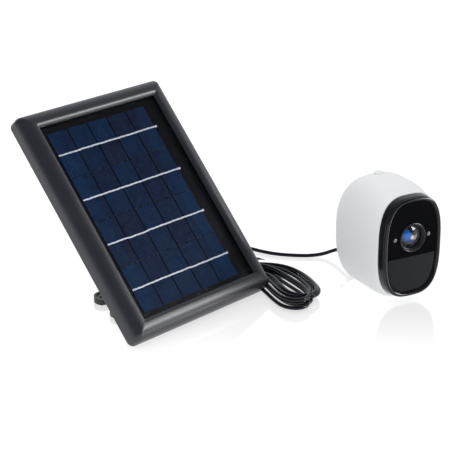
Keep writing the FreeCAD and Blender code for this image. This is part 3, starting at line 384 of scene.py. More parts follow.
@dataclass(frozen=True)
class Silicon:
    """Blue crystalline cells: each cell has its own blue, with fine silver fingers across it."""

    name: str
    middle: Array
    tilt: float
    cell_pitch: float
    strip_pitch: float
    columns: int = 5
    strips: int = 4
    finger_pitch: float = 0.0017
    finger_half: float = 0.00016
    gap_half: float = 0.0006

    def material(self) -> bpy.types.Material:
        """Build the material."""
        tree = Palette(self.name)
        here = tree.place(self.middle, (self.tilt, 0.0, 0.0))
        x, y, _ = tree.split(here)
        from_left = x + self.columns / 2 * self.cell_pitch
        from_foot = y + self.strips / 2 * self.strip_pitch
        column = (from_left / self.cell_pitch).step(1.0)
        strip = (from_foot / self.strip_pitch).step(1.0)
        half = (from_foot / (self.strip_pitch / 2)).step(1.0)
        seed = column * 3.7 + strip * 11.3 + half * 1.9
        own = tree.node("ShaderNodeTexWhiteNoise", {"noise_dimensions": "1D"}, {"W": seed}, out="Value")
        blues = tree.node("ShaderNodeValToRGB", {"stops": [
            (0.0, (0.006, 0.010, 0.034)), (0.35, (0.005, 0.015, 0.050)),
            (0.7, (0.004, 0.024, 0.072)), (1.0, (0.012, 0.010, 0.032)),
        ]}, {"Fac": own})
        crystal = tree.node("ShaderNodeTexVoronoi", {"feature": "F1"},
                            {"Vector": here, "Scale": 420.0}, out="Color")
        flake = tree.split(crystal)[0]
        edge = x.fold(5.4 * self.cell_pitch) > 1.9 * self.cell_pitch
        lit = tree.mix(flake * 0.3 + edge * 0.22, blues, (0.006, 0.055, 0.15))
        finger = y.fold(self.finger_pitch) < self.finger_half
        cross = x.fold(self.finger_pitch) < self.finger_half
        lines = finger * 0.5 + cross * 0.5
        drawn = tree.mix(lines, lit, (0.026, 0.042, 0.088))
        gap = x.fold(self.cell_pitch) > self.cell_pitch / 2 - self.gap_half
        return tree.finish(tree.principled({
            "Base Color": tree.mix(gap * 0.9, drawn, (0.002, 0.003, 0.007)),
            "Roughness": 0.3 + flake * 0.2,
            "Specular IOR Level": 0.10,
            "Normal": tree.bump(lines + flake * 0.4, 0.00002),
        }))


@dataclass(frozen=True)
class ClearCover:
    """A clear cover: mostly see-through, with a sheen that grows at shallow angles."""

    name: str
    tint: Colour = (0.9, 0.94, 1.0)
    haze: float = 0.02
    ior: float = 1.3

    def material(self) -> bpy.types.Material:
        """Build the material."""
        tree = Palette(self.name)
        smear = tree.noise(tree.place(), 24.0, 4.0)
        clear = tree.node("ShaderNodeBsdfTransparent", values={"Color": (0.97, 0.98, 1.0)})
        sheen = tree.principled({
            "Base Color": tuple(0.02 * c for c in self.tint), "Roughness": 0.04 + smear * 0.06,
            "Specular Tint": self.tint,
        })
        edge = tree.node("ShaderNodeFresnel", values={"IOR": self.ior})
        both = tree.node("ShaderNodeMixShader", values={
            0: edge * 0.8 + smear * self.haze, 1: clear, 2: sheen})
        return tree.finish(both)


@dataclass(frozen=True)
class LensWithPaintedReflections:
    """A lens element: near black, with a painted reflection in the coat's colour in one crescent, a painted
    grey highlight on the right half of the rim, a dim spot low down and a painted warm glint.
    """

    name: str
    middle: Array
    turn: float
    radius: float = 0.0081
    # The colour of the painted reflection in the crescent; a third of it colours the dim spot low down.
    coat: Colour = (0.006, 0.13, 0.50)

    def material(self) -> bpy.types.Material:
        """Build the material."""
        tree = Palette(self.name)
        x, _, z = tree.split(tree.place(self.middle, (0.0, 0.0, self.turn)))
        across = x / self.radius
        up = z / self.radius
        # Painted reflection: a soft patch up and to the left, cut to a crescent.
        away = ((across + 0.34) ** 2 + (up - 0.22) ** 2) ** 0.5
        cut = (across * 0.82 + up * 0.57) < 0.10
        blue_reflection = tree.ease(away, 0.25, 0.72, 1.0, 0.0)
        low = ((across + 0.05) ** 2 + (up + 0.42) ** 2) ** 0.5 < 0.16
        # Painted warm glint near the middle.
        glint = ((across - 0.02) ** 2 + (up + 0.02) ** 2) ** 0.5
        warm = tree.ease(glint, 0.08, 0.24, 1.0, 0.0)
        # Painted highlight: lighter grey on the outer right half of the rim.
        rim = (across ** 2 + up ** 2) ** 0.5
        grey = tree.mix((rim > 0.55) * (across > 0.0), (0.012, 0.014, 0.020), (0.055, 0.057, 0.062))
        blue = tree.mix(blue_reflection * cut, grey, self.coat)
        both = tree.mix(low * 0.6, blue, tuple(0.3 * c for c in self.coat))
        return tree.finish(tree.principled({
            "Base Color": tree.mix(warm, both, (0.72, 0.50, 0.38)),
            "Roughness": 0.08, "Specular IOR Level": 0.4, "Coat Weight": 0.3, "Coat Roughness": 0.03,
        }))


@dataclass(frozen=True)
class Sheath:
    """The lead's glossy sheath: faint rings from extrusion and a few dull rubs."""

    name: str = "lead_sheath"
    colour: Colour = (0.005, 0.005, 0.009)

    def material(self) -> bpy.types.Material:
        """Build the material."""
        tree = Palette(self.name)
        here = tree.place()
        rub = tree.noise(here, 260.0, 4.0)
        ripple = tree.noise(here, 900.0, 2.0)
        return tree.finish(tree.principled({
            "Base Color": tree.mix(rub, self.colour, (0.009, 0.009, 0.015)),
            "Roughness": 0.17 + rub * 0.10,
            "Specular IOR Level": 0.24,
            "Coat Weight": 0.06,
            "Coat Roughness": 0.08,
            "Normal": tree.bump(ripple, 0.00005),
        }))


@dataclass(frozen=True)
class Woven:
    """A woven strap: over and under threads along and across."""

    name: str = "woven_strap"
    colour: Colour = (0.012, 0.012, 0.014)
    pitch: float = 0.0007

    def material(self) -> bpy.types.Material:
        """Build the material."""
        tree = Palette(self.name)
        x, y, z = tree.split(tree.place())
        across = (x + z).fold(self.pitch) / (self.pitch / 2)
        along = y.fold(self.pitch) / (self.pitch / 2)
        thread = across * along
        return tree.finish(tree.principled({
            "Base Color": tree.mix(thread, self.colour, tuple(2.6 * c for c in self.colour)),
            "Roughness": 0.85,
            "Specular IOR Level": 0.25,
            "Normal": tree.bump(thread, 0.0001),
        }))


@dataclass(frozen=True)
class StudioFloor:
    """A white glossy table: bright and even, with a soft reflection that fades towards the viewer."""

    name: str = "studio_floor"
    glow: float = 0.84
    reflection: float = 0.24
    fade: tuple[float, float] = (-0.15, -0.02)
    reach: tuple[float, float] = (0.12, 0.42)

    def material(self) -> bpy.types.Material:
        """Build the material."""
        tree = Palette(self.name)
        x, y, _ = tree.split(tree.place())
        behind = x * AWAY[0] + y * AWAY[1]
        near = tree.ease(behind, *self.fade, 0.0, self.reflection)
        round_middle = tree.ease((x * x + y * y) ** 0.5, *self.reach, 1.0, 0.0)
        share = near * round_middle
        glow = tree.node("ShaderNodeEmission", values={"Color": (1.0, 1.0, 1.0), "Strength": self.glow})
        chalk = tree.node("ShaderNodeBsdfDiffuse", values={"Color": (0.34, 0.34, 0.34)})
        base = tree.node("ShaderNodeAddShader", values={0: glow, 1: chalk})
        gloss = tree.node("ShaderNodeBsdfGlossy", values={"Color": (1.0, 1.0, 1.0), "Roughness": 0.1})
        return tree.finish(tree.node("ShaderNodeMixShader", values={0: share, 1: base, 2: gloss}))


# ------------------------------------------------------------------ surfaces
class Ends(Enum):
    """What closes the two ends of a grid that is wrapped round."""

    FLAT = "flat"
    JOINED = "joined"


def turned(angle: float) -> Array:
    """The matrix of a turn about Z by an angle in radians."""
    c, s = math.cos(angle), math.sin(angle)
    return np.array([[c, -s, 0.0], [s, c, 0.0], [0.0, 0.0, 1.0]])


def tilted(angle: float) -> Array:
    """The matrix of a turn about X by an angle in radians."""
    c, s = math.cos(angle), math.sin(angle)
    return np.array([[1.0, 0.0, 0.0], [0.0, c, -s], [0.0, s, c]])


@dataclass(frozen=True)
class Seat:
    """Where a sub-assembly's own axes stand in the frame."""

    middle: Array
    turn: Array

    def put(self, points: Array) -> Array:
        """Bring points from the sub-assembly's millimetres to the frame's metres.

        Args:
            points: an array whose last axis is x, y, z in millimetres.

        Returns:
            The same array in metres, in the frame.
        """
        return (points @ self.turn.T + self.middle) * MM


def signed_power(value: Array, power: float) -> Array:
    """The power of the size of each value, with its sign kept."""
    return np.sign(value) * np.abs(value) ** power


def arc_through(start: tuple[float, float], middle: tuple[float, float], end: tuple[float, float],
                steps: int) -> Array:
    """Points on the circle through three points: centre from the perpendicular bisectors, then even angles.

    Args:
        start: the first point.
        middle: a point that the arc passes.
        end: the last point.
        steps: how many points.

    Returns:
        An array of steps points.
    """
    a, b, c = (np.array(p, float) for p in (start, middle, end))
    system = np.array([b - a, c - a]) * 2
    right = np.array([b @ b - a @ a, c @ c - a @ a])
    centre = np.linalg.solve(system, right)
    angles = np.unwrap([math.atan2(*(p - centre)[::-1]) for p in (a, b, c)])
    sweep = np.linspace(angles[0], angles[2], steps)
    radius = np.linalg.norm(a - centre)
    return centre + radius * np.stack([np.cos(sweep), np.sin(sweep)], axis=1)


def grid_piece(name: str, points: Array, ends: Ends, smooth_deg: float = 35.0) -> bpy.types.Object:
    """A mesh from a grid of points whose second axis is wrapped round.

    Args:
        name: the piece's name.
        points: rows by columns by xyz, in the frame's metres.
        ends: what closes the first and last rows.
        smooth_deg: edges sharper than this stay sharp.

    Returns:
        The new object, at the origin.
    """
    rows, columns = points.shape[:2]
    index = np.arange(rows * columns).reshape(rows, columns)
    if ends is Ends.JOINED:
        lower, upper = index, np.roll(index, -1, axis=0)
    else:
        lower, upper = index[:-1], index[1:]
    quads = np.stack([lower, np.roll(lower, -1, axis=1), np.roll(upper, -1, axis=1), upper], axis=-1)
    faces = quads.reshape(-1, 4).tolist()
    if ends is Ends.FLAT:
        faces.append(index[0][::-1].tolist())
        faces.append(index[-1].tolist())
    mesh = bpy.data.meshes.new(name)
    mesh.from_pydata(points.reshape(-1, 3).tolist(), [], faces)
    mesh.polygons.foreach_set("use_smooth", np.ones(len(faces), bool))
    mesh.validate()
    mesh.update()
    volume = signed_volume(mesh)
    if volume < 0:
        mesh.flip_normals()
    mesh.set_sharp_from_angle(angle=math.radians(smooth_deg))
    piece = bpy.data.objects.new(name, mesh)
    bpy.context.scene.collection.objects.link(piece)
    return piece


def signed_volume(mesh: bpy.types.Mesh) -> float:
    """The volume inside a closed mesh, below zero where its faces point inwards: a sum of tetrahedra."""
    mesh.calc_loop_triangles()
    corners = np.zeros(len(mesh.loop_triangles) * 3, np.int32)
    mesh.loop_triangles.foreach_get("vertices", corners)
    places = np.zeros(len(mesh.vertices) * 3, np.float32)
    mesh.vertices.foreach_get("co", places)
    a, b, c = (places.reshape(-1, 3)[corners.reshape(-1, 3)[:, k]].astype(float) for k in range(3))
    return float(np.einsum("ij,ij->i", a, np.cross(b, c)).sum())


def turned_about_y(profile: Array, centre: Array, segments: int) -> Array:
    """A profile of radius and depth turned about an axis along y: x = r cos t, z = r sin t.

    Args:
        profile: rows of radius and y, in millimetres.
        centre: a point on the axis.
        segments: steps round.

    Returns:
        Rows by segments by xyz.
    """
    t = np.linspace(0, 2 * np.pi, segments, endpoint=False)
    x = profile[:, :1] * np.cos(t)
    z = profile[:, :1] * np.sin(t)
    y = np.repeat(profile[:, 1:2], segments, axis=1)
    return np.stack([x + centre[0], y + centre[1], z + centre[2]], axis=-1)


def dress(piece: bpy.types.Object, material: bpy.types.Material, slot: str, body: str,
          *nodes: str) -> bpy.types.Object:
    """Give a new piece its material, its body, and the nodes that it stands for.

    Args:
        piece: the new object.
        material: what it is made of.
        slot: the record's slot for its finish. Not used.
        body: the body that it rides on.
        nodes: CAD nodes that it replaces.

    Returns:
        The piece.
    """
    piece.data.materials.clear()
    piece.data.materials.append(material)
    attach(piece, body)
    if nodes:
        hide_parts(*nodes)
    log.info("%s rides on %s", piece.name, body)
    return piece


def paint(material: bpy.types.Material, *nodes: str) -> None:
    """Give CAD nodes a material.

    Args:
        material: what they are made of.
        nodes: the nodes' names.
    """
    for node in nodes:
        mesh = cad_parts[node].data
        mesh.materials.clear()
        mesh.materials.append(material)
        log.info("%s painted %s", node, material.name)


# ------------------------------------------------------------------ solar panel
@dataclass
class SolarPanel:
    """The charging panel: frame, glass, cells with their ribbons, and the back."""

    width: float = 127.0
    height: float = 165.0
    tilt: float = math.radians(48.4)
    corner: float = 4.5
    mitre: float = 0.9
    columns: int = 5
    strips: int = 4
    cell_pitch: float = 17.6
    strip_pitch: float = 33.3
    cells_middle: tuple[float, float] = (-3.2, -0.6)
    cells_top: float = 9.7
    ribbon_half: float = 0.48
    ribbon_top: float = 9.8
    ribbon_thick: float = 0.10
    ribbon_left: float = 43.4
    ribbon_right: float = 45.8
    seat: Seat = field(init=False)

    def __post_init__(self) -> None:
        """Work out where the panel leans."""
        c, s = math.cos(self.tilt), math.sin(self.tilt)
        middle = np.array([self.width / 2, c * self.height / 2 + 3.2, s * (self.height / 2 - 1) - c + 1])
        self.seat = Seat(middle - ORIGIN, tilted(self.tilt))

    def rail_section(self) -> Array:
        """The rail's section, inwards and out of the back: a bull-nosed outside over a stepped inside."""
        back = arc_through((1.0, 0.0), (0.293, 0.293), (0.0, 1.0), 5)
        nose = arc_through((0.0, 5.0), (2.1, 11.7), (8.2, 14.5), 18)
        roll = arc_through((8.2, 14.5), (10.3, 14.2), (11.6, 13.05), 7)[1:]
        lip = np.array([(11.85, 12.7), (12.0, 12.3), (12.0, 11.86), (9.0, 11.86), (9.0, 2.6), (4.8, 2.6),
                        (4.8, 0.0)])
        return np.vstack([back, nose, roll, lip])

    def frame(self) -> bpy.types.Object:
        """The frame: its section carried round a rectangle whose corners tighten inwards to a soft mitre."""
        section = self.rail_section()
        inward, out = section[:, 0], section[:, 1]
        radius = np.maximum(self.corner - inward, self.mitre)
        corner_steps = 9
        angles = (np.arange(4)[:, None] * np.pi / 2 + np.linspace(0, np.pi / 2, corner_steps)).ravel()
        sign_x = np.repeat([1.0, -1.0, -1.0, 1.0], corner_steps)
        sign_y = np.repeat([1.0, 1.0, -1.0, -1.0], corner_steps)
        reach_x = (self.width / 2 - inward - radius)[:, None]
        reach_y = (self.height / 2 - inward - radius)[:, None]
        x = sign_x * reach_x + radius[:, None] * np.cos(angles)
        y = sign_y * reach_y + radius[:, None] * np.sin(angles)
        z = np.repeat(out[:, None], x.shape[1], axis=1)
        grid = self.seat.put(np.stack([x, y, z], axis=-1))
        piece = grid_piece("frame_moulding", grid, Ends.JOINED, 28.0)
        charcoal = Moulded("satin_charcoal", (0.016, 0.017, 0.027), 0.40, 0.00003, 2200.0, 0.1, specular=0.6)
        return dress(piece, charcoal.material(), "frame_charcoal", "base", "panel_frame")

    def ribbons(self) -> bpy.types.Object:
        """Four solder ribbons: an oval section carried across, stepped at the cells and swollen at one end."""
        steps, round_steps = 161, 10
        t = np.linspace(0, 1, steps)
        x = self.cells_middle[0] - self.ribbon_left + (self.ribbon_left + self.ribbon_right) * t
        chance = np.random.default_rng(7)
        tables = []
        for strip in range(self.strips):
            cell = np.clip(np.floor((t - 0.016) / 0.968 * self.columns), 0, self.columns - 1).astype(int)
            step = chance.uniform(-0.22, 0.22, self.columns)[cell]
            step = np.convolve(np.pad(step, 2, mode="edge"), np.ones(5) / 5, mode="valid")
            place = strip - (self.strips - 1) / 2
            wobble = 0.06 * np.sin(t * 47 + strip) + 0.04 * np.sin(t * 113 + 2 * strip)
            swell = 1 + 0.22 * np.sin(t * 71 + strip) ** 2 + 0.5 * np.exp(-((t - 0.985) / 0.012) ** 2)
            end = np.clip(np.minimum(t, 1 - t) / 0.006, 0.02, 1) ** 0.5
            theta = np.linspace(0, 2 * np.pi, round_steps, endpoint=False)
            y_middle = self.cells_middle[1] + place * self.strip_pitch + step + wobble
            y = y_middle[:, None] + (self.ribbon_half * swell * end)[:, None] * np.cos(theta)
            z = self.ribbon_top + self.ribbon_thick * (end[:, None] * np.sin(theta) - 1)
            tables.append(np.stack([np.repeat(x[:, None], round_steps, axis=1), y, z], axis=-1))
        pieces = [grid_piece(f"ribbon_{k}", self.seat.put(table), Ends.FLAT)
                  for k, table in enumerate(tables)]
        bright = Moulded("bright_solder", (0.86, 0.88, 0.95), 0.35, 0.00002, 1800.0, 0.04, specular=1.0)
        solder = bright.material()
        for piece in pieces[1:]:
            dress(piece, solder, "ribbon_silver", "base")
        return dress(pieces[0], solder, "ribbon_silver", "base", "busbars")

    def solder_dots(self) -> bpy.types.Object:
        """The dotted lines between strips: low domes, each a small square pyramid with a cut top."""
        count = 56
        chance = np.random.default_rng(11)
        x = np.linspace(-2.45, 2.45, count) * self.cell_pitch + self.cells_middle[0]
        lines = self.strips - 1
        keep = chance.random((lines, count)) < 0.72
        line = (np.arange(lines) - (lines - 1) / 2) * self.strip_pitch + self.cells_middle[1]
        place = np.stack(np.broadcast_arrays(x[None, :], line[:, None]), axis=-1)[keep]
        size = chance.uniform(0.07, 0.14, len(place))
        corner = np.array([(-1, -1), (1, -1), (1, 1), (-1, 1)], float)
        low = place[:, None, :] + corner * size[:, None, None] * 1.5
        high = place[:, None, :] + corner * size[:, None, None] * 0.8
        base_z = np.full((*low.shape[:2], 1), self.cells_top - 0.01)
        top_z = np.full((*low.shape[:2], 1), self.cells_top + 0.08)
        foot = np.concatenate([low, base_z], axis=-1)
        points = np.concatenate([foot, np.concatenate([high, top_z], axis=-1)], axis=1)
        sides = [(k, (k + 1) % 4, (k + 1) % 4 + 4, k + 4) for k in range(4)]
        pattern = np.array([(3, 2, 1, 0), (4, 5, 6, 7), *sides])
        faces = (np.arange(len(points))[:, None, None] * 8 + pattern).reshape(-1, 4)
        mesh = bpy.data.meshes.new("solder_dots")
        mesh.from_pydata(self.seat.put(points.reshape(-1, 3)).tolist(), [], faces.tolist())
        piece = bpy.data.objects.new("solder_dots", mesh)
        bpy.context.scene.collection.objects.link(piece)
        return dress(piece, Metal("dull_solder", (0.34, 0.37, 0.42), 0.5).material(), "ribbon_silver", "base")

    def build(self) -> None:
        """Make the panel's pieces and paint its CAD nodes."""
        self.frame()
        self.ribbons()
        self.solder_dots()
        middle = self.seat.put(np.array([*self.cells_middle, self.cells_top]))
        silicon = Silicon("blue_silicon", middle, self.tilt, self.cell_pitch * MM, self.strip_pitch * MM,
                          self.columns, self.strips)
        paint(silicon.material(), "solar_cells")
        paint(ClearCover("panel_glass").material(), "glass_cover")
        paint(Polished("black_laminate", (0.008, 0.008, 0.010), 0.25, coat=0.0, specular=0.3).material(),
              "cell_backsheet")
        paint(Moulded("back_cover_plastic", (0.022, 0.022, 0.024), 0.55, 0.00008, 1500.0).material(),
              "panel_back_cover")


# ------------------------------------------------------------------ camera
@dataclass
class SecurityCamera:
    """The camera: shell, bezel, face, lens and the pieces on it."""

    middle: tuple[float, float, float] = (189.3, -49.8, -0.25)
    turn: float = math.radians(-18.0)
    face_z: float = 39.6
    glass_half: tuple[float, float] = (19.6, 31.8)
    lens_z: float = 46.35
    window_top: float = 32.75
    window_front: float = -32.4
    dome_front: float = -33.2
    dome_round: float = 14.0
    dome_edge: float = 8.1
    squareness: float = 3.0
    seat: Seat = field(init=False)

    def __post_init__(self) -> None:
        """Work out where the camera stands."""
        self.seat = Seat(np.array(self.middle) - ORIGIN, turned(self.turn))

    def ring_round_face(self, section: Array, steps: int) -> Array:
        """A section carried round the face: x = a c^(2/n), z = b s^(2/n), with its own a and b at each point.

        Args:
            section: rows of depth, half width and half height.
            steps: steps round.

        Returns:
            Rows by steps by xyz in the frame.
        """
        t = np.linspace(0, 2 * np.pi, steps, endpoint=False)
        across = signed_power(np.cos(t), 2 / self.squareness)
        up = signed_power(np.sin(t), 2 / self.squareness)
        x = section[:, 1:2] * across
        z = section[:, 2:3] * up + self.face_z
        y = np.repeat(section[:, :1], steps, axis=1)
        return self.seat.put(np.stack([x, y, z], axis=-1))

    def bezel(self) -> bpy.types.Object:
        """The bezel: a straight side, a fine groove, a round front edge and a slope down to the window."""
        taller = 12.2
        side = np.array([(-27.5, 22.95, 35.15), (-30.5, 22.85, 35.05), (-32.6, 22.70, 34.90),
                         (-33.0, 22.62, 34.82), (-33.15, 22.38, 34.58), (-33.35, 22.36, 34.56),
                         (-33.5, 22.52, 34.72)])
        roll = arc_through((-33.5, 22.52), (-34.85, 22.05), (-35.2, 21.2), 9)
        front = np.column_stack([roll, roll[:, 1] + taller])
        inner = np.array([(-35.15, 20.9, 33.1), (-34.75, 20.45, 32.65), (-34.1, 20.05, 32.25),
                          (-33.5, 19.85, 32.05), (-31.5, 19.78, 31.98), (-31.5, 17.9, 30.1),
                          (-22.6, 17.9, 30.1), (-22.6, 20.5, 32.8), (-27.5, 20.5, 32.8)])
        grid = self.ring_round_face(np.vstack([side, front, inner]), 220)
        piece = grid_piece("bezel_ring", grid, Ends.JOINED, 50.0)
        piano = Polished("piano_black", (0.008, 0.0085, 0.010), 0.16, coat=0.0, specular=0.3)
        return dress(piece, piano.material(), "bezel_black", "base", "front_bezel")

    def window(self) -> bpy.types.Object:
        """The motion window: rows of flat rounded loops as wide as the face, drawn in at both ends."""
        rows, steps = 60, 96
        low = self.face_z - self.glass_half[1] + 0.05
        v = 0.5 - 0.5 * np.cos(np.linspace(0, np.pi, rows))
        z = low + (self.window_top - 0.1 - low) * v
        height = np.abs((z - self.face_z) / self.glass_half[1])
        inside = 1 - np.minimum(height, 0.9999) ** self.squareness
        half = self.glass_half[0] * inside ** (1 / self.squareness)
        roll = np.clip(np.minimum(v, 1 - v) / 0.03, 0, 1)
        thick = 0.55 + 0.35 * np.sqrt(1 - (1 - roll) ** 2)
        theta = np.linspace(0, 2 * np.pi, steps, endpoint=False)
        x = half[:, None] * signed_power(np.cos(theta), 0.22)
        y = self.window_front + thick[:, None] * signed_power(np.sin(theta), 0.22)
        grid = self.seat.put(np.stack([x, y, np.repeat(z[:, None], steps, axis=1)], axis=-1))
        piece = grid_piece("sensor_window", grid, Ends.FLAT, 50.0)
        smoked = Moulded("smoked_window", (0.010, 0.011, 0.013), 0.34, 0.00001, 3200.0, 0.05, specular=0.08)
        return dress(piece, smoked.material(), "window_grey", "base", "motion_window")

    def turned_piece(self, name: str, profile: list[tuple[float, float]], ends: Ends,
                     segments: int = 96) -> bpy.types.Object:
        """A piece turned about the lens's axis from radii and depths."""
        centre = np.array([0.0, 0.0, self.lens_z])
        points = turned_about_y(np.array(profile), centre, segments)
        return grid_piece(name, self.seat.put(points), ends, 25.0)

    def lens(self) -> None:
        """The lens: a stepped ring, a coated dome, baffle rings behind it and a small element."""
        black = Polished("anodised_black", (0.010, 0.010, 0.011), 0.26, coat=0.0, specular=0.35).material()
        ring = self.turned_piece("lens_surround", [
            (10.2, -29.4), (10.2, -33.9), (10.05, -34.25), (9.8, -34.4), (9.45, -34.4), (9.25, -34.2),
            (9.15, -33.7), (8.95, -33.65), (8.85, -33.2), (8.6, -33.15), (8.45, -32.6), (8.3, -32.5),
            (8.3, -29.4),
        ], Ends.JOINED)
        dress(ring, black, "lens_black", "base", "lens_ring")
        angle = np.linspace(0.02, math.asin(self.dome_edge / self.dome_round), 16)
        dome = [(self.dome_round * math.sin(a), self.dome_front + self.dome_round * (1 - math.cos(a)))
                for a in angle]
        glass = self.turned_piece("lens_dome", dome + [(self.dome_edge, -29.7), (0.28, -29.7)], Ends.FLAT)
        middle = self.seat.put(np.array([0.0, -33.0, self.lens_z]))
        # The front element's crescent, rim and glint colours are painted reflections and highlights.
        coated = LensWithPaintedReflections("front_lens_painted_reflections", middle, self.turn)
        dress(glass, coated.material(), "lens_coated", "base", "lens_glass")
        steps = []
        for k in range(6):
            r = 7.5 - 0.62 * k
            y = -29.5 + 1.05 * k
            steps += [(r, y), (r - 0.12, y + 0.9), (r - 0.55, y + 0.95)]
        back = [(3.3, -23.2), (8.6, -23.2), (8.6, -29.5)]
        baffle = self.turned_piece("lens_baffle", steps + back, Ends.JOINED)
        dress(baffle, black, "lens_black", "base")
        # The small rear element gets the same painted reflection, rim highlight and glint, in orange.
        paint(LensWithPaintedReflections("rear_lens_painted_reflections", middle, self.turn, 0.006, (0.5, 0.28, 0.1)).material(), "rear_lens")
        paint(black, "lens_barrel")

    def build(self) -> None:
        """Make the camera's pieces and paint its CAD nodes."""
        self.bezel()
        self.window()
        self.lens()
        white = Moulded("shell_white", (0.80, 0.81, 0.82), 0.42, 0.000012, 2400.0, 0.012, specular=0.4)
        paint(white.material(), "camera_housing", "battery_door", "sync_button")
        black = Polished("black_window", (0.0012, 0.0014, 0.002), 0.06, 0.00001, coat=0.0, specular=0.02)
        paint(black.material(), "front_glass")
        paint(Polished("smoked_epoxy", (0.15, 0.15, 0.16), 0.10).material(), "infrared_leds")


# ------------------------------------------------------------------ inside and stand
class Stock(Enum):
    """The plain finishes and the CAD nodes that have them."""

    STAND = (Moulded("stand_plastic", (0.020, 0.021, 0.024), 0.40, 0.00005, 1700.0),
             ("foot_plate", "foot_clevis", "link_arm", "panel_clevis"))
    KNOB = (Moulded("knob_plastic", (0.016, 0.016, 0.018), 0.55, 0.00006, 1500.0),
            ("upper_knob", "lower_knob", "speaker"))
    RUBBER = (Moulded("soft_rubber", (0.013, 0.013, 0.014), 0.72, 0.00004, 2600.0),
              ("panel_gasket", "lead_gland", "swivel_washer", "door_seal", "port_flap"))
    SLEEVE = (Moulded("pack_sleeve", (0.05, 0.055, 0.06), 0.3, 0.00003, 700.0), ("battery_pack",))
    STEEL = (Metal("plated_steel", (0.55, 0.56, 0.58)),
             ("upper_bolt", "lower_bolt", "swivel_rivet", "lock_nut", "panel_screws", "housing_screws",
              "door_pin", "button_spring", "door_magnets", "magnet_dish", "motion_sensor", "microphone"))
    STAMPED = (Metal("stamped_shell", (0.66, 0.66, 0.68), 0.22), ("usb_socket", "plug_shell"))
    BRASS = (Metal("turned_brass", (0.70, 0.50, 0.20), 0.3), ("stand_insert", "tripod_insert"))
    GOLD = (Metal("gold_plate", (0.83, 0.60, 0.24), 0.25), ("battery_contacts",))
    BOARD = (CircuitBoard(), ("charge_board", "main_board", "sensor_board", "button_switch"))
    CHIP = (Polished("sensor_chip", (0.03, 0.025, 0.06), 0.1), ("image_sensor",))
    FILTER = (ClearCover("cut_filter", (0.5, 0.9, 0.75), 0.1), ("infrared_cut_filter",))
    PLUG = (Moulded("plug_moulding", (0.011, 0.011, 0.013), 0.42, 0.00004, 1800.0),
            ("usb_plug", "plug_relief"))

    @classmethod
    def paint_all(cls) -> None:
        """Paint every node of every plain finish."""
        for stock in cls:
            finish, nodes = stock.value
            paint(finish.material(), *nodes)


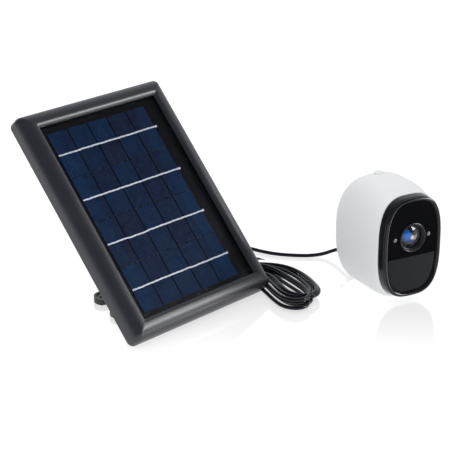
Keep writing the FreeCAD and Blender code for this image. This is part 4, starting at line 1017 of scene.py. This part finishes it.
# ------------------------------------------------------------------ lead
@dataclass
class Lead:
    """The charging lead as one line: gland, floor, tied hank, floor, plug."""

    diameter: float = 2.6
    turns: int = 9
    tie: tuple[float, float] = (138.0, 33.0)
    gland_tip: tuple[float, float, float] = (110.5, 31.68, 15.09)
    plug_tip: tuple[float, float, float] = (202.28, -9.86, 9.75)

    PANEL_LEAD: ClassVar[list[tuple[float, float, float]]] = [
        (110.6, 39.2, 8.1),
        (112.6, 48.4, 3.2),
        (117.6, 57.0, 1.5),
        (123.8, 64.6, 1.6),
        (130.6, 71.4, 2.6),
    ]
    CAMERA_LEAD: ClassVar[list[tuple[float, float, float]]] = [
        (146.0, 85.0, 2.8),
        (155.6, 85.4, 1.7),
        (164.8, 81.4, 1.4),
        (171.2, 72.6, 1.4),
        (173.6, 61.0, 1.4),
        (175.2, 48.8, 1.4),
        (178.6, 37.2, 1.4),
        (184.8, 27.0, 1.4),
        (192.4, 17.8, 1.4),
        (200.4, 11.8, 2.0),
        (205.0, 5.0, 5.6),
        (204.6, -2.8, 9.3),
    ]
    # The near loop that reaches furthest to the right, and the one that lies furthest to the left.
    RIGHT_LOOP: ClassVar[list[tuple[float, float]]] = [
        (149.0, 24.5),
        (156.0, 16.5),
        (159.5, 6.5),
        (158.5, -4.5),
        (154.5, -15.0),
        (149.5, -24.5),
        (144.0, -33.0),
        (135.5, -37.5),
        (127.5, -34.0),
        (125.0, -25.0),
        (129.0, -14.0),
        (135.5, -3.5),
        (139.5, 7.5),
        (137.0, 19.0),
    ]
    LEFT_LOOP: ClassVar[list[tuple[float, float]]] = [
        (145.5, 22.0),
        (145.0, 11.5),
        (142.0, 1.0),
        (138.5, -9.5),
        (135.5, -19.5),
        (132.5, -28.5),
        (127.5, -37.0),
        (119.5, -41.0),
        (112.0, -37.5),
        (109.5, -28.5),
        (113.5, -17.5),
        (119.0, -6.0),
        (124.5, 6.0),
        (128.5, 19.0),
    ]
    # How far to the left each turn's near loop lies, from the bottom turn up.
    LEFTNESS: ClassVar[list[float]] = [0.5, 0.0, 1.0, 0.12, 0.75, 0.05, 0.4, 0.15, 0.85]

    def strand_height(self, turn: int) -> float:
        """How high a turn lies where the loops fan out."""
        return 1.4 + 0.74 * turn

    def tie_place(self, turn: int) -> tuple[float, float]:
        """How far a turn is from the strap's middle, and how high: three layers of three strands a side."""
        layer, column = divmod(turn, 3)
        return 6.6 - 2.6 * column, 2.1 + 2.2 * layer

    def near_loop(self, turn: int) -> Array:
        """The near half of a turn: between the right and the left loop, a little shorter or longer than them.

        Args:
            turn: which turn, from the bottom.

        Returns:
            Points on the floor plan, from the strap's right side to its left.
        """
        share = self.LEFTNESS[turn]
        blend = (1 - share) * np.array(self.RIGHT_LOOP) + share * np.array(self.LEFT_LOOP)
        stretch = 1.0 - 0.035 * (1 + math.sin(2.3 * turn))
        return np.array(self.tie) + (blend - np.array(self.tie)) * stretch

    def far_loop(self, turn: int) -> Array:
        """The far half of a turn: straight sides and a round end: centre plus radius times cosine and sine.

        Args:
            turn: which turn, from the bottom.

        Returns:
            Points on the floor plan, from the strap's left side to its right.
        """
        half, _ = self.tie_place(turn)
        lean = math.radians(1.5 + 4.0 * math.sin(turn * 1.7))
        reach, radius = 53.0 - 0.4 * turn, 10.2 - 0.1 * turn
        along = np.array([math.sin(lean), math.cos(lean)])
        side = np.array([-along[1], along[0]])
        tie = np.array(self.tie)
        angle = np.linspace(0, np.pi, 5)
        middle = tie + (reach - radius) * along
        around = middle + radius * 1.08 * (np.cos(angle)[:, None] * side + np.sin(angle)[:, None] * along)
        out = tie + np.array([-half, 0.0])
        home = tie + np.array([half, 0.0])
        share = np.array([0.36, 0.7])[:, None]
        there = out + (around[0] - out) * share
        back = around[-1] + (home - around[-1]) * (1 - share[::-1])
        return np.vstack([there, around, back])

    def half_turn(self, turn: int, near: bool) -> Array:
        """Half a turn with its heights, from the strap on one side up to the strap on the other.

        Args:
            turn: which turn, from the bottom.
            near: whether it's the half towards the front.

        Returns:
            Points in space. The first is under the strap.
        """
        half, low = self.tie_place(turn)
        start = np.array(self.tie) + np.array([half if near else -half, 0.0])
        flat = np.vstack([start, self.near_loop(turn) if near else self.far_loop(turn)])
        rise = np.concatenate([[0.0, 0.6], np.ones(len(flat) - 3), [0.6]])
        return np.column_stack([flat, low + (self.strand_height(turn) - low) * rise])

    def route(self) -> Array:
        """Every point of the lead, in millimetres from the panel's lower left corner."""
        parts = [np.array([self.gland_tip]), np.array(self.PANEL_LEAD[:-1])]
        parts.append(self.half_turn(0, near=False)[3:])
        for turn in range(self.turns - 1):
            parts.append(self.half_turn(turn, near=True))
            parts.append(self.half_turn(turn, near=False))
        parts.append(self.half_turn(self.turns - 1, near=True))
        last = self.half_turn(self.turns - 1, near=False)[:5]
        last[3:, 2] -= [1.2, 3.0]
        parts.append(last)
        parts.append(np.array(self.CAMERA_LEAD))
        parts.append(np.array([self.plug_tip]))
        return np.vstack(parts)

    def line(self) -> bpy.types.Object:
        """The lead itself: one open spline through the route, with a round section."""
        points = (self.route() - ORIGIN) * MM
        curve = bpy.data.curves.new("charging_lead", "CURVE")
        curve.dimensions = "3D"
        spline = curve.splines.new("NURBS")
        spline.points.add(len(points) - 1)
        spline.points.foreach_set("co", np.column_stack([points, np.ones(len(points))]).ravel())
        spline.order_u = 3
        spline.use_endpoint_u = True
        curve.resolution_u = 10
        curve.bevel_depth = self.diameter * MM / 2
        curve.bevel_resolution = 5
        piece = bpy.data.objects.new("charging_lead", curve)
        bpy.context.scene.collection.objects.link(piece)
        return dress(piece, Sheath().material(), "cable_black", "base",
                     "panel_lead", "lead_hank", "camera_lead")

    def strap(self) -> bpy.types.Object:
        """The strap: a thin rounded band carried round a flattened oval, with a short free tail."""
        low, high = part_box("hank_tie")
        lowest, highest = np.array(low) / MM, np.array(high) / MM
        right = highest[0] - 5.0
        centre = np.array([(lowest[0] + right) / 2, 0.0, (lowest[2] + highest[2]) / 2])
        half = np.array([(right - lowest[0]) / 2, (highest[2] - lowest[2]) / 2])
        t = np.linspace(0, 2 * np.pi, 72, endpoint=False)
        hoop = np.stack([signed_power(np.cos(t), 0.42), signed_power(np.sin(t), 0.42)], axis=1)
        theta = np.linspace(0, 2 * np.pi, 16, endpoint=False)
        thick = 0.38 * signed_power(np.cos(theta), 0.5)
        wide = (highest[1] - lowest[1]) / 2 * signed_power(np.sin(theta), 0.3)
        radial = half - 0.4 + thick[:, None]
        x = centre[0] + hoop[:, None, 0] * radial[None, :, 0]
        z = centre[2] + hoop[:, None, 1] * radial[None, :, 1]
        y = np.repeat(((lowest[1] + highest[1]) / 2 + wide)[None, :], len(t), axis=0)
        piece = grid_piece("hank_strap", np.stack([x, y, z], axis=-1) * MM, Ends.JOINED, 40.0)
        return dress(piece, Woven().material(), "tie_black", "base", "hank_tie")

    def strap_tail(self) -> bpy.types.Object:
        """The strap's tail: the same band running out to the right and lifting a little."""
        low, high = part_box("hank_tie")
        lowest, highest = np.array(low) / MM, np.array(high) / MM
        s = np.linspace(0, 1, 12)
        x = highest[0] - 7.0 + 11.0 * s
        z = highest[2] - 0.9 + 1.2 * (1 - s) * s - 1.6 * s ** 3
        theta = np.linspace(0, 2 * np.pi, 16, endpoint=False)
        thick = 0.3 * signed_power(np.cos(theta), 0.5)
        wide = (highest[1] - lowest[1]) / 2 * signed_power(np.sin(theta), 0.3)
        shrink = 1 - 0.55 * s ** 3
        y = ((lowest[1] + highest[1]) / 2 - 3.5 * s ** 2)[:, None] + shrink[:, None] * wide
        grid = np.stack([np.repeat(x[:, None], 16, axis=1), y, z[:, None] + thick], axis=-1)
        piece = grid_piece("strap_tail", grid * MM, Ends.FLAT, 40.0)
        return dress(piece, bpy.data.materials["woven_strap"], "tie_black", "base")

    def build(self) -> None:
        """Make the lead, its strap and what goes with it."""
        line = self.line()
        strap = self.strap()
        tail = self.strap_tail()



# ------------------------------------------------------------------ studio
@dataclass
class Studio:
    """The camera's view, the floor and the lights."""

    eye: tuple[float, float, float] = (-605.9, -644.2, 422.4)
    aim: tuple[float, float, float] = (97.9, 12.4, 53.0)
    lens: float = 124.4

    def view(self) -> None:
        """Place the camera, level, looking from the eye to the aim."""
        data = bpy.data.cameras.new("view")
        data.lens = self.lens
        data.sensor_width = 36.0
        data.clip_start = 0.02
        data.clip_end = 50.0
        eye = Vector((np.array(self.eye) - ORIGIN) * MM)
        aim = Vector((np.array(self.aim) - ORIGIN) * MM)
        camera = bpy.data.objects.new("view", data)
        camera.location = eye
        camera.rotation_euler = (aim - eye).to_track_quat("-Z", "Y").to_euler()
        bpy.context.scene.collection.objects.link(camera)
        bpy.context.scene.camera = camera

    def floor(self) -> None:
        """A wide white table top just under the object."""
        mesh = bpy.data.meshes.new("floor")
        side, below = 30.0, -0.0002
        rim = [(-side, -side, below), (side, -side, below), (side, side, below), (-side, side, below)]
        mesh.from_pydata(rim, [], [(0, 1, 2, 3)])
        floor = bpy.data.objects.new("floor", mesh)
        mesh.materials.append(StudioFloor().material())
        bpy.context.scene.collection.objects.link(floor)

    def softbox(self, name: str, place: tuple[float, float, float], size: tuple[float, float], watts: float,
                mirrored: bool = False) -> None:
        """A rectangular light that looks at the object's middle.

        Args:
            name: the light's name.
            place: where it hangs, in metres.
            size: its width and height, in metres.
            watts: its power.
            mirrored: whether it's only seen in reflections, and not only felt.
        """
        data = bpy.data.lights.new(name, "AREA")
        data.shape = "RECTANGLE"
        data.size, data.size_y = size
        data.energy = watts
        lamp = bpy.data.objects.new(name, data)
        lamp.location = place
        middle = Vector((0.0, 0.0, 0.05))
        lamp.rotation_euler = (middle - Vector(place)).to_track_quat("-Z", "Y").to_euler()
        lamp.visible_glossy = mirrored
        lamp.visible_diffuse = not mirrored
        bpy.context.scene.collection.objects.link(lamp)

    def air(self) -> None:
        """Light from all round: white to the eye, even on surfaces, and dark in front in reflections."""
        world = bpy.data.worlds.new("studio_air")
        bpy.context.scene.world = world
        world.use_nodes = True
        tree = world.node_tree
        tree.nodes.clear()
        output = tree.nodes.new("ShaderNodeOutputWorld")
        ray = add_node(tree, "ShaderNodeLightPath", {}, {})
        way = add_node(tree, "ShaderNodeTexCoord", {}, {})
        behind = add_node(tree, "ShaderNodeVectorMath", {"operation": "DOT_PRODUCT"}, {
            0: Wire(tree, way.outputs["Generated"]), 1: AWAY})
        bright = add_node(tree, "ShaderNodeMapRange", {"interpolation_type": "SMOOTHSTEP"}, {
            "Value": Wire(tree, behind.outputs["Value"]), "From Min": 0.2, "From Max": 0.85,
            "To Min": 0.03, "To Max": 1.0})
        seen = add_node(tree, "ShaderNodeBackground", {}, {"Color": (1.0, 1.0, 1.0), "Strength": 1.0})
        mirrored = add_node(tree, "ShaderNodeBackground", {}, {
            "Color": (0.93, 0.96, 1.0), "Strength": Wire(tree, bright.outputs[0])})
        felt = add_node(tree, "ShaderNodeBackground", {}, {"Color": (1.0, 1.0, 1.0), "Strength": 0.74})
        soft = add_node(tree, "ShaderNodeMixShader", {}, {
            0: Wire(tree, ray.outputs["Is Diffuse Ray"]), 1: Wire(tree, mirrored.outputs[0]),
            2: Wire(tree, felt.outputs[0])})
        both = add_node(tree, "ShaderNodeMixShader", {}, {
            0: Wire(tree, ray.outputs["Is Camera Ray"]), 1: Wire(tree, soft.outputs[0]),
            2: Wire(tree, seen.outputs[0])})
        tree.links.new(both.outputs[0], output.inputs["Surface"])

    def build(self) -> None:
        """Set the view, the floor, the air and the lights."""
        self.view()
        self.floor()
        self.air()
        self.softbox("key", (-0.9, -0.55, 1.25), (0.9, 0.6), 7.0)
        self.softbox("rim", (0.75, 0.75, 0.8), (0.9, 0.5), 2.0)
        self.softbox("strip", (0.80, -0.80, 0.40), (0.9, 0.42), 18.0, True)
        bpy.context.scene.view_settings.view_transform = "Standard"


def corners(box: tuple[Vector, Vector]) -> list[list[float]]:
    """A box's two corners as plain lists."""
    return [[float(v) for v in corner] for corner in box]


def main() -> None:
    """Build the studio and the sub-assemblies in order."""
    logging.basicConfig(level=logging.INFO)
    Studio().build()
    Lead().build()
    SolarPanel().build()
    SecurityCamera().build()
    Stock.paint_all()


if __name__ == "__main__":
    main()
